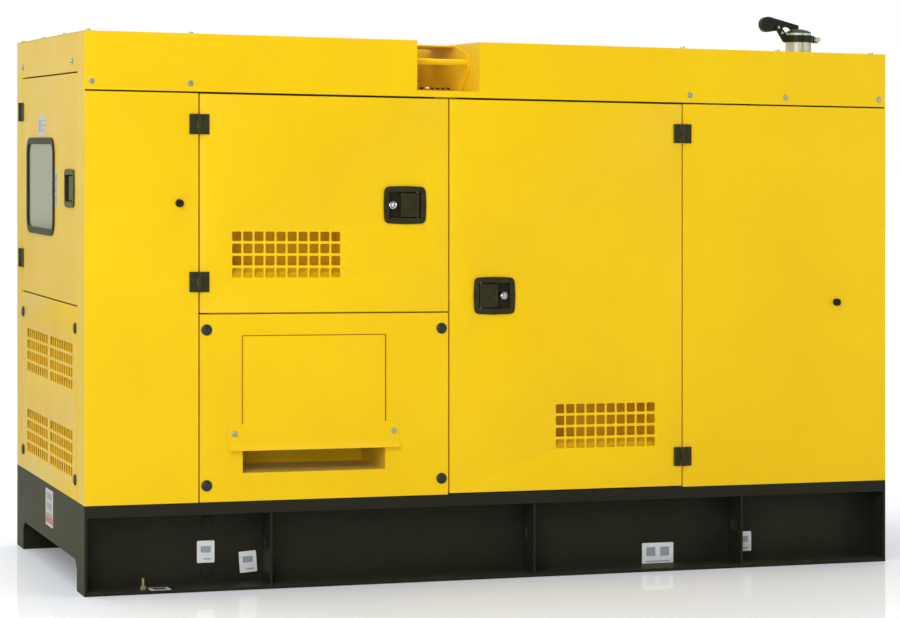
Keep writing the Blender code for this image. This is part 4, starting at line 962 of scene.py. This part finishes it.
def add_notch_details():
    """What shows in the roof channel: its drain slots, drawn as dark raised blocks of painted shade
    for the slots' dark insides, and the screw at its front lip.
    """
    floor = Place((0, 0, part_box("roof_cover")[0].z + 0.020), X, Y, Z)
    for number in range(7):
        a = -0.238 + 0.0145 * number
        if number == 2:
            continue
        # Painted shade: each slot is a dark block standing in for the hole's dark inside.
        slot = block(f"drain_slot_shade_{number}", floor, around(a, 0.0085), around(FRONT_Y + 0.030, 0.006),
                     (0.0, 0.0045), LOOKS["seal_rubber"], edge=0.0008)
        slot.name = f"drain_slot_shade_{number}"
    for end, sign in (("front", 1), ("rear", -1)):
        bolt(f"channel_bolt_{end}", floor, -0.2085, sign * (FRONT_Y + 0.026), 0.0003)


add_stickers()
add_web_fittings()
add_latch_details()
add_rain_cap_details()
add_notch_details()

# ---- machinery details ------------------------------------------------------------------
ENGINE_LOW, ENGINE_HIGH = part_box("engine")
CORE_LOW, CORE_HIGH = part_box("radiator")
FAN_LOW, FAN_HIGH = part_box("cooling_fan")
FAN_FACE = Place((0, 0, (FAN_LOW.z + FAN_HIGH.z) / 2), Y, Z, X)
ROCKER_TOP = Place((0, 0, ENGINE_HIGH.z), X, Y, Z)
HEAD_TOP = ENGINE_HIGH.z - 0.035


def pipe(name, points, radius, material, body=ROOT):
    """A bent pipe, hose or cable through world points, with its bends rounded."""
    curve = bpy.data.curves.new(name, "CURVE")
    curve.dimensions = "3D"
    curve.bevel_depth = radius
    curve.bevel_resolution = 3
    curve.resolution_u = 8
    curve.use_fill_caps = True
    spline = curve.splines.new("NURBS")
    spline.points.add(len(points) - 1)
    for point, spot in zip(spline.points, points):
        point.co = (*spot, 1.0)
    spline.use_endpoint_u = True
    spline.order_u = 3
    drawn = bpy.data.objects.new(name, curve)
    bpy.context.scene.collection.objects.link(drawn)
    graph = bpy.context.evaluated_depsgraph_get()
    mesh = bpy.data.meshes.new_from_object(drawn.evaluated_get(graph))
    bpy.data.objects.remove(drawn)
    bpy.data.curves.remove(curve)
    mesh.materials.clear()
    work = bmesh.new()
    work.from_mesh(mesh)
    bmesh.ops.remove_doubles(work, verts=work.verts, dist=0.00001)
    work.to_mesh(mesh)
    work.free()
    return piece(name, mesh, Matrix.Identity(4), material, body, 50)


def band(name, centre, along, radius, body=ROOT):
    """A worm-drive hose clamp: a bright band round a hose end, with its screw housing."""
    third = Vector(along).normalized()
    first = third.orthogonal().normalized()
    place = Place(centre, first, third.cross(first), third)
    ring = [(radius, -0.006), (radius + 0.0012, -0.006), (radius + 0.0018, -0.004),
            (radius + 0.0018, 0.004), (radius + 0.0012, 0.006), (radius, 0.006)]
    turned(name, place, ring[::-1], ZINC, body, 24)
    block(name + "_screw", place, (radius, radius + 0.009), (-0.009, 0.009), (-0.005, 0.005),
          ZINC, body, 0.001)


def add_fuel_injection():
    """The injection pump, its pipes and the injectors on the cylinder head."""
    block("injection_pump", WORLD, (0.010, 0.370), (0.146, 0.196), (0.560, 0.645),
          LOOKS["engine_paint"], edge=0.008)
    for number in range(4):
        x = 0.030 + 0.100 * number
        spot = Place((x + 0.018, 0.095, HEAD_TOP - 0.003), X, Y, Z)
        stem = [(0.0, 0.034), (0.008, 0.034), (0.010, 0.030), (0.010, 0.0), (0.0, 0.0)]
        turned(f"injector_{number}", spot, stem, ZINC, steps=20)
        pipe(f"injector_pipe_{number}",
             [(x, 0.165, 0.640), (x, 0.190, 0.700), (x + 0.010, 0.175, 0.860),
              (x + 0.018, 0.095, 0.875), (x + 0.018, 0.095, HEAD_TOP + 0.028)], 0.0035, ZINC)
    filter_place = Place((-0.035, 0.186, 0.560), X, Y, Z)
    can = [(0.0, 0.120), (0.030, 0.118), (0.034, 0.108), (0.034, 0.020), (0.028, 0.004),
           (0.0, 0.0)]
    turned("fuel_filter", filter_place, can, LABEL_GREY)
    block("fuel_filter_head", filter_place, around(0, 0.070), (-0.040, 0.030), (0.115, 0.140),
          ZINC, edge=0.004)
    pipe("fuel_feed", [(-0.035, 0.186, 0.690), (0.000, 0.200, 0.700), (0.020, 0.180, 0.640)],
         0.006, HOSE)
    pipe("fuel_suction", [(-0.060, 0.190, 0.690), (-0.120, 0.225, 0.660), (-0.125, 0.235, 0.450),
                          (-0.060, 0.235, 0.345)], 0.006, HOSE)


def add_air_intake():
    """The air cleaner over the engine, on its brackets, with its hose to the manifold."""
    place = Place((-0.020, 0.215, 0.990), Y, Z, X)
    shell = [(0.0, 0.0), (0.085, 0.0), (0.092, 0.006), (0.092, 0.020), (0.087, 0.026),
             (0.087, 0.290), (0.092, 0.296), (0.092, 0.320), (0.070, 0.332), (0.0, 0.332)]
    turned("air_cleaner", place, shell[::-1], LOOKS["cap_plastic"], steps=48)
    for number, along in enumerate((0.070, 0.240)):
        strap = [(0.0868, along - 0.012), (0.0885, along - 0.012), (0.0885, along + 0.012),
                 (0.0868, along + 0.012)]
        turned(f"cleaner_strap_{number}", place, strap[::-1], ZINC, steps=48)
        x = along - 0.020
        pipe(f"cleaner_bracket_{number}", [(x, 0.105, HEAD_TOP - 0.005), (x, 0.110, 0.860),
                                           (x, 0.150, 0.900), (x, 0.185, 0.912)], 0.009,
             LOOKS["engine_paint"])
    block("intake_manifold", WORLD, (0.010, 0.425), (0.116, 0.158), (0.748, 0.800),
          LOOKS["engine_paint"], edge=0.008)
    pipe("intake_hose", [(0.300, 0.215, 0.990), (0.390, 0.215, 0.990), (0.405, 0.210, 0.930),
                         (0.405, 0.170, 0.860), (0.400, 0.138, 0.790)], 0.030, HOSE)
    band("intake_band", (0.326, 0.215, 0.990), (1, 0, 0), 0.0305)


def add_engine_fittings():
    """Rocker cover bolts, oil filler, dipstick, starter and the exhaust's two flanges."""
    for number in range(6):
        bolt(f"rocker_bolt_{number}", ROCKER_TOP, -0.010 + 0.084 * number, 0.0)
    filler = [(0.0, 0.030), (0.020, 0.030), (0.024, 0.026), (0.024, 0.006), (0.028, 0.004),
              (0.028, 0.0), (0.0, 0.0)]
    turned("oil_filler", ROCKER_TOP.moved(0.116, 0.036), filler, LOOKS["cap_plastic"])
    pipe("dipstick", [(0.300, -0.150, 0.460), (0.300, -0.215, 0.520), (0.300, -0.222, 0.700),
                      (0.300, -0.222, 0.740)], 0.005, ZINC)
    starter = Place((-0.070, -0.198, 0.470), Y, Z, X)
    motor = [(0.0, 0.0), (0.044, 0.0), (0.046, 0.010), (0.046, 0.110), (0.038, 0.124),
             (0.015, 0.130), (0.0, 0.130)]
    turned("starter_motor", starter, motor[::-1], LOOKS["cap_plastic"])
    solenoid = [(0.0, 0.020), (0.024, 0.020), (0.024, 0.095), (0.0, 0.095)]
    turned("starter_solenoid", starter.moved(-0.020, 0.066), solenoid[::-1], ZINC)
    flange = [(0.0235, 0.012), (0.046, 0.012), (0.047, 0.010), (0.047, 0.0), (0.0, 0.0)]
    low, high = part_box("exhaust_pipe")
    port = Place((low.x + 0.024, (low.y + high.y) / 2, low.z), X, Y, Z)
    turned("exhaust_port_flange", port, [(0.0, 0.0125), *flange], LOOKS["exhaust_cast"])
    for number in range(4):
        angle = math.radians(45 + 90 * number)
        bolt(f"port_bolt_{number}", port, 0.036 * math.cos(angle), 0.036 * math.sin(angle), 0.012)
    inlet = Place((high.x, port.at().translation.y, high.z - 0.024), Y, Z, X)
    sleeve = [(0.0245, -0.030), (0.034, -0.030), (0.036, -0.026), (0.036, 0.012), (0.0245, 0.012)]
    turned("silencer_inlet", inlet, sleeve[::-1], LOOKS["exhaust_steel"])


BELT_WIDE = 0.011
BELT_RUNS = ((0.0, 0.455, 0.070), (-0.215, 0.660, 0.036), (0.0, 0.600, 0.0605))


def belt_line(thick):
    """The belt's outline round its three pulleys, a given distance off their rims."""
    outline = []
    for step in range(60):
        angle = math.tau * step / 60
        across, up = math.cos(angle), math.sin(angle)
        y, z, radius = max(BELT_RUNS, key=lambda run: run[0] * across + run[1] * up + run[2])
        outline.append((y + (radius + thick) * across, z + (radius + thick) * up))
    return outline


def add_belt_drive():
    """The crank and charger pulleys, the charging alternator and the fan belt."""
    face = Place((ENGINE_HIGH.x + 0.001, 0, 0), Y, Z, X)
    for name, (y, z, radius) in zip(("crank", "charger"), BELT_RUNS):
        groove = [(0.0, 0.020), (radius * 0.35, 0.020), (radius * 0.40, 0.014),
                  (radius - 0.004, 0.014), (radius + 0.003, 0.018), (radius, 0.0145),
                  (radius, 0.0035), (radius + 0.003, 0.0), (0.0, 0.0)]
        turned(f"{name}_pulley", face.moved(y, z), groove, LOOKS["clamp_black"])
    y, z, _ = BELT_RUNS[1]
    body = [(0.0, -0.002), (0.020, -0.004), (0.050, -0.006), (0.056, -0.016), (0.056, -0.094),
            (0.048, -0.108), (0.0, -0.112)]
    turned("charging_alternator", face.moved(y, z), body, ZINC)
    pipe("charger_bracket", [(0.440, -0.140, 0.700), (0.440, -0.180, 0.715),
                             (0.440, -0.215, 0.714)], 0.008, LOOKS["clamp_black"])
    mesh = sheet_mesh("fan_belt", belt_line(0.0055), [belt_line(0.0003)], BELT_WIDE, 0.001)
    piece("fan_belt", mesh, face.at(0, 0, 0.009 + BELT_WIDE / 2), HOSE)


GUARD_AT = FAN_LOW.x + 0.030


def add_fan_guard():
    """The wire guard between the engine and the fan, held on the shroud's face."""
    place = FAN_FACE.moved(0, 0, GUARD_AT)
    for number in range(5):
        radius = 0.090 + 0.040 * number
        wire = [(radius, -0.0022), (radius + 0.0022, 0.0), (radius, 0.0022),
                (radius - 0.0022, 0.0), (radius, -0.0022)]
        turned(f"guard_ring_{number}", place, wire[::-1], LOOKS["clamp_black"], steps=60)
    for number in range(6):
        angle = math.tau * (number + 0.5) / 6
        reaches = ((0.088, 0.0), (0.250, 0.0), (0.266, 0.010), (0.266, CORE_LOW.x - GUARD_AT))
        pipe(f"guard_spoke_{number}",
             [place.at(reach * math.cos(angle), reach * math.sin(angle), depth).translation
              for reach, depth in reaches], 0.003, LOOKS["clamp_black"])


def add_cooling_hoses():
    """The two radiator hoses with their clamps, and the radiator's filler cap."""
    tank_face = CORE_LOW.x + 0.052
    pipe("top_hose", [(0.444, 0.095, HEAD_TOP - 0.010), (0.444, 0.095, 0.920),
                      (0.460, 0.100, 0.988), (0.560, 0.115, 0.990), (tank_face, 0.130, 0.990)],
         0.0225, HOSE)
    band("top_hose_band_0", (0.444, 0.095, 0.838), (0, 0, 1), 0.0227)
    band("top_hose_band_1", (tank_face - 0.020, 0.127, 0.990), (1, 0.1, 0), 0.0227)
    pipe("bottom_hose", [(0.440, 0.140, 0.450), (0.440, 0.215, 0.440), (0.480, 0.290, 0.400),
                         (0.540, 0.300, 0.320), (0.590, 0.282, 0.304),
                         (tank_face, 0.275, 0.304)], 0.0225, HOSE)
    band("bottom_hose_band_0", (0.440, 0.162, 0.448), (0, 1, 0), 0.0227)
    band("bottom_hose_band_1", (tank_face - 0.016, 0.276, 0.304), (1, 0, 0), 0.0227)
    cap = [(0.0, 0.024), (0.012, 0.024), (0.030, 0.018), (0.032, 0.008), (0.026, 0.004),
           (0.022, 0.0), (0.0, 0.0)]
    middle_x = (CORE_LOW.x + 0.055 + CORE_HIGH.x) / 2
    turned("radiator_cap", Place((middle_x, 0.0, CORE_HIGH.z), X, Y, Z), cap, ZINC)


def add_battery_details():
    """The battery's lid, its hold-down and the two leads to the starter and engine."""
    low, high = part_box("battery")
    middle_x, middle_y = (low.x + high.x) / 2, (low.y + high.y) / 2
    top = Place((middle_x, middle_y, high.z - 0.018), X, Y, Z)
    block("battery_lid", top, around(0, 0.252), around(0, 0.162), (0.0002, 0.010),
          LOOKS["battery_case"], edge=0.002)
    for number in range(6):
        cell = [(0.0, 0.0135), (0.010, 0.0135), (0.011, 0.0125), (0.011, 0.010), (0.0, 0.010)]
        turned(f"cell_cap_{number}", top.moved(-0.105 + 0.042 * number, 0.040), cell,
               LOOKS["stop_red"], steps=20)
    block("battery_strap", top, around(0, 0.026), around(0, 0.190), (0.0104, 0.0134),
          LOOKS["clamp_black"], edge=0.0008)
    for number, y in enumerate((middle_y - 0.090, middle_y + 0.090)):
        pipe(f"battery_rod_{number}", [(middle_x, y, SKID_HIGH.z), (middle_x, y, 0.330),
                                       (middle_x, y, high.z + 0.006)], 0.003, ZINC)
    for name, x, colour, lane, end in (
            ("live", -0.960, LOOKS["stop_red"], 0.370, (-0.020, -0.218, 0.560)),
            ("earth", -0.780, HOSE, 0.352, (-0.040, -0.150, 0.420))):
        boot = [(0.0, 0.022), (0.010, 0.021), (0.015, 0.014), (0.017, 0.0), (0.0, 0.0)]
        turned(f"battery_boot_{name}", Place((x, -0.290, high.z + 0.0005), X, Y, Z), boot, colour)
        pipe(f"battery_lead_{name}",
             [(x, -0.290, high.z + 0.012), (x + 0.020, -0.270, 0.480), (x + 0.060, -0.200, 0.485),
              (-0.690, -0.150, 0.460), (-0.650, -0.170, lane), (-0.600, -0.221, lane),
              (-0.420, -0.221, lane), (-0.160, -0.221, lane), (-0.060, -0.235, 0.400),
              (end[0], end[1] - 0.035, end[2] - 0.040), end], 0.0075, colour)


def add_cabinet_face():
    """The control cabinet's display, keys, gauges, lamps, key switch and screws."""
    bezel = Place((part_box("control_panel")[0].x, 0, 0), -Y, Z, -X)
    block("display", bezel, (-0.192, -0.090), (0.985, 1.070), (0.0003, 0.0018), DISPLAY,
          edge=0.0004)
    for number in range(6):
        column, row = number % 3, number // 3
        block(f"panel_key_{number}", bezel, around(-0.075 + 0.020 * column, 0.014),
              around(1.050 - 0.028 * row, 0.014), (0.0003, 0.0036), LABEL_GREY, edge=0.001)
    face = bezel.moved(0, 0, -0.006)
    for number, a in enumerate((0.030, 0.085)):
        gauge = face.moved(a, 1.040)
        rim = [(0.0195, 0.004), (0.0205, 0.0075), (0.024, 0.0075), (0.025, 0.0), (0.0, 0.0)]
        turned(f"gauge_{number}", gauge, [(0.0, 0.0040), *rim], LOOKS["clamp_black"])
        dial = [(0.0, 0.0047), (0.0188, 0.0047), (0.0188, 0.0038), (0.0, 0.0038)]
        turned(f"gauge_face_{number}", gauge, dial, LABEL)
        block(f"gauge_needle_{number}", gauge, (-0.0008, 0.0008), (-0.003, 0.015),
              (0.0048, 0.0054), LOOKS["stop_red"], edge=0.0002)
    for number, (a, look) in enumerate(((-0.250, LOOKS["stop_red"]), (-0.190, SHADOW_GAP_AND_LAMP_AMBER),
                                        (-0.130, LABEL))):
        lamp = [(0.0, 0.010), (0.005, 0.009), (0.008, 0.005), (0.009, 0.0035), (0.012, 0.003),
                (0.012, 0.0), (0.0, 0.0)]
        turned(f"panel_lamp_{number}", face.moved(a, 0.915), lamp, look)
    key = [(0.0, 0.012), (0.009, 0.012), (0.011, 0.010), (0.011, 0.003), (0.016, 0.003),
           (0.016, 0.0), (0.0, 0.0)]
    turned("key_switch", face.moved(0.060, 0.915), key, ZINC)
    for number, (a, b) in enumerate(((-0.296, 0.794), (0.106, 0.794), (-0.296, 1.176),
                                     (0.106, 1.176))):
        bolt(f"panel_screw_{number}", face, a, b)
    pipe("control_conduit", [(-0.900, 0.060, 0.785), (-0.900, 0.060, 0.720),
                             (-0.850, 0.050, 0.690), (-0.640, 0.040, 0.740),
                             (-0.555, 0.040, 0.760)], 0.014, HOSE)


def add_supports():
    """The stand under the control cabinet and the hangers of the silencer."""
    low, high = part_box("control_panel")
    for number, y in enumerate((low.y + 0.030, high.y - 0.030)):
        block(f"cabinet_leg_{number}", WORLD, around(-0.900, 0.036), around(y, 0.036),
              (SKID_HIGH.z + 0.004, low.z - REST), LOOKS["cabinet_paint"], edge=0.003)
        block(f"cabinet_foot_{number}", WORLD, around(-0.900, 0.090), around(y, 0.060),
              (SKID_HIGH.z + REST, SKID_HIGH.z + 0.005), LOOKS["cabinet_paint"], edge=0.001)
    silencer = Place((STACK_AT[0], 0.0, 1.150), X, Z, -Y)
    for number, along in enumerate((-0.060, 0.230)):
        strap = [(0.0852, along - 0.015), (0.0875, along - 0.015), (0.0875, along + 0.015),
                 (0.0852, along + 0.015)]
        turned(f"silencer_strap_{number}", silencer, strap[::-1], LOOKS["clamp_black"], steps=48)
        block(f"silencer_hanger_{number}", silencer, around(0, 0.030), (0.086, 0.2215),
              around(along, 0.005), LOOKS["clamp_black"], edge=0.001)


def add_terminal_box_details():
    """The alternator's output box: lid, screws and the glands for the load cables."""
    side = Place((-0.430, -0.130, 0.760), X, Z, -Y)
    block("terminal_lid", side, around(0, 0.236), around(0.012, 0.090), (0.0004, 0.004),
          LOOKS["alternator_paint"], edge=0.002)
    for number, (a, b) in enumerate(((-0.106, 0.045), (0.106, 0.045), (-0.106, -0.021),
                                     (0.106, -0.021))):
        bolt(f"terminal_screw_{number}", side, a, b, 0.0042)
    for number in range(4):
        gland = [(0.0, 0.026), (0.010, 0.026), (0.0115, 0.022), (0.0115, 0.014), (0.016, 0.012),
                 (0.016, 0.0), (0.0, 0.0)]
        turned(f"cable_gland_{number}", side.moved(-0.075 + 0.050 * number, -0.052), gland,
               LOOKS["cap_plastic"], steps=24)


def add_machinery_details():
    """Everything on the engine, radiator, battery, cabinet and alternator."""
    add_fuel_injection()
    add_air_intake()
    add_engine_fittings()
    add_belt_drive()
    add_fan_guard()
    add_cooling_hoses()
    add_battery_details()
    add_cabinet_face()
    add_terminal_box_details()
    add_supports()


add_machinery_details()


# ---- stage: floor, light and camera ----------------------------------------------
FOCAL = 2599.0            # the view's focal length, in units of 1/900 of its width
YAW = math.radians(19.98)
EYE = Vector((-2.420, -6.664, 1.085))
SHIFT = 154.0             # how far the horizon stands above the frame's middle
WORLD_WHITE = 1.0
WORLD_DIM = 0.22
SHEAR = 0.0146            # the view's lines fall to the right by this slope


def add_camera():
    """A view camera with a level axis: its back is dropped and very slightly sheared."""
    right = Vector((math.cos(YAW), -math.sin(YAW), 0))
    ahead = Vector((math.sin(YAW), math.cos(YAW), 0))
    columns = (right + SHEAR * Z, Z, (SHIFT / FOCAL) * Z - ahead)
    turn = Matrix(columns).transposed()
    # The rig holds the stretch and the camera the turn: together they make the shear.
    stretch, rotation = stretch_and_turn(turn)
    rig = bpy.data.objects.new("camera_rig", None)
    bpy.context.scene.collection.objects.link(rig)
    rig.matrix_world = Matrix.Translation(EYE) @ stretch.to_4x4()
    lens = bpy.data.cameras.new("camera")
    lens.sensor_width = 36.0
    lens.lens = lens.sensor_width * FOCAL / 900.0 * columns[2].length
    lens.clip_start = 0.1
    lens.clip_end = 200.0
    camera = bpy.data.objects.new("camera", lens)
    bpy.context.scene.collection.objects.link(camera)
    camera.parent = rig
    camera.matrix_local = rotation.to_4x4()
    bpy.context.scene.camera = camera


def stretch_and_turn(matrix):
    """Split a matrix as (rotation @ scale) @ rotation, by its singular values."""
    import numpy as np
    left, sizes, right = np.linalg.svd(np.array(matrix, float))
    if np.linalg.det(left) < 0:
        left[:, 2] *= -1
        right[2, :] *= -1
    stretch = Matrix((left @ np.diag(sizes)).tolist())
    return stretch, Matrix(right.tolist())


def add_light(name, spot, target, size, energy, colour=(1, 1, 1)):
    """A soft box aimed at a point."""
    data = bpy.data.lights.new(name, "AREA")
    data.shape = "RECTANGLE"
    data.size, data.size_y = size
    data.energy = energy
    data.color = colour
    lamp = bpy.data.objects.new(name, data)
    bpy.context.scene.collection.objects.link(lamp)
    lamp.location = spot
    lamp.rotation_euler = (Vector(target) - Vector(spot)).to_track_quat("-Z", "Y").to_euler()


def add_stage():
    """A pale floor, a white surround and soft boxes at the front left, the front right and above."""
    bpy.ops.mesh.primitive_plane_add(size=60.0, location=(0, 0, -0.0005))
    floor = bpy.context.active_object
    floor.name = "floor"
    floor.data.materials.append(floor_look())

    bpy.context.scene.world = surround()
    middle = (0, 0, 0.7)
    add_light("key", (-3.8, -5.2, 3.8), middle, (3.0, 3.0), 190)
    add_light("low", (-2.8, -5.2, 0.9), (0, 0, 0.5), (2.8, 1.2), 58)
    add_light("fill", (5.2, -4.0, 1.6), middle, (3.0, 2.4), 75)
    add_light("top", (0, 0, 5.5), middle, (6.0, 5.0), 165)
    bpy.context.scene.view_settings.view_transform = "Standard"


def surround():
    """A studio that is white behind the set and dim behind the viewer."""
    world = bpy.data.worlds.new("surround")
    world.use_nodes = True
    tree = world.node_tree
    light = tree.nodes["Background"]
    look = tree.nodes.new("ShaderNodeTexCoord")
    split = tree.nodes.new("ShaderNodeSeparateXYZ")
    tree.links.new(look.outputs["Generated"], split.inputs[0])
    ramp = tree.nodes.new("ShaderNodeMapRange")
    ramp.inputs["From Min"].default_value = -0.15
    ramp.inputs["From Max"].default_value = 0.55
    ramp.inputs["To Min"].default_value = WORLD_DIM
    ramp.inputs["To Max"].default_value = WORLD_WHITE
    tree.links.new(split.outputs["Y"], ramp.inputs[0])
    tree.links.new(ramp.outputs[0], light.inputs["Color"])
    return world


def floor_look():
    """White floor with a faint gloss, and painted light: an emission seen only by the camera that
    brightens it towards the horizon, and more to the left, like a studio sweep.
    """
    look = Shader("floor", (0.765, 0.805, 0.865), 0.9)
    look.set("Specular IOR Level", 0.0)
    # Painted light: the glow grows with distance from a point just right of the set's middle.
    offset = look.node("ShaderNodeVectorMath", {"operation": "SUBTRACT"})
    look.feed(offset.inputs[0], look.place)
    look.feed(offset.inputs[1], (0.25, 0.0, 0.0))
    away = look.node("ShaderNodeVectorMath", {"operation": "LENGTH"})
    look.feed(away.inputs[0], offset.outputs[0])
    glow = look.remap(away.outputs["Value"], 1.1, 3.6, 0.19, 0.85)
    seen = look.node("ShaderNodeLightPath").outputs["Is Camera Ray"]
    look.set("Emission Color", (1.0, 1.0, 1.0, 1.0))
    look.set("Emission Strength", look.maths("MULTIPLY", glow, seen))
    gloss = look.node("ShaderNodeBsdfGlossy")
    gloss.inputs["Roughness"].default_value = 0.008
    mix = look.node("ShaderNodeMixShader")
    streaks = look.remap(look.noise(0.6, 3.0), 0.3, 0.7, 0.20, 0.24)
    # Seen from behind the set, the floor would mirror the soft boxes, so its gloss fades.
    toward = look.node("ShaderNodeSeparateXYZ")
    look.feed(toward.inputs[0], look.node("ShaderNodeNewGeometry").outputs["Incoming"])
    in_front = look.remap(toward.outputs["Y"], -0.25, 0.05, 1.0, 0.0)
    look.feed(mix.inputs[0], look.maths("MULTIPLY", streaks, in_front))
    look.feed(mix.inputs[1], look.surface.outputs[0])
    look.feed(mix.inputs[2], gloss.outputs[0])
    output = look.tree.nodes["Material Output"]
    look.tree.links.new(mix.outputs[0], output.inputs["Surface"])
    return look.material


add_camera()
add_stage()
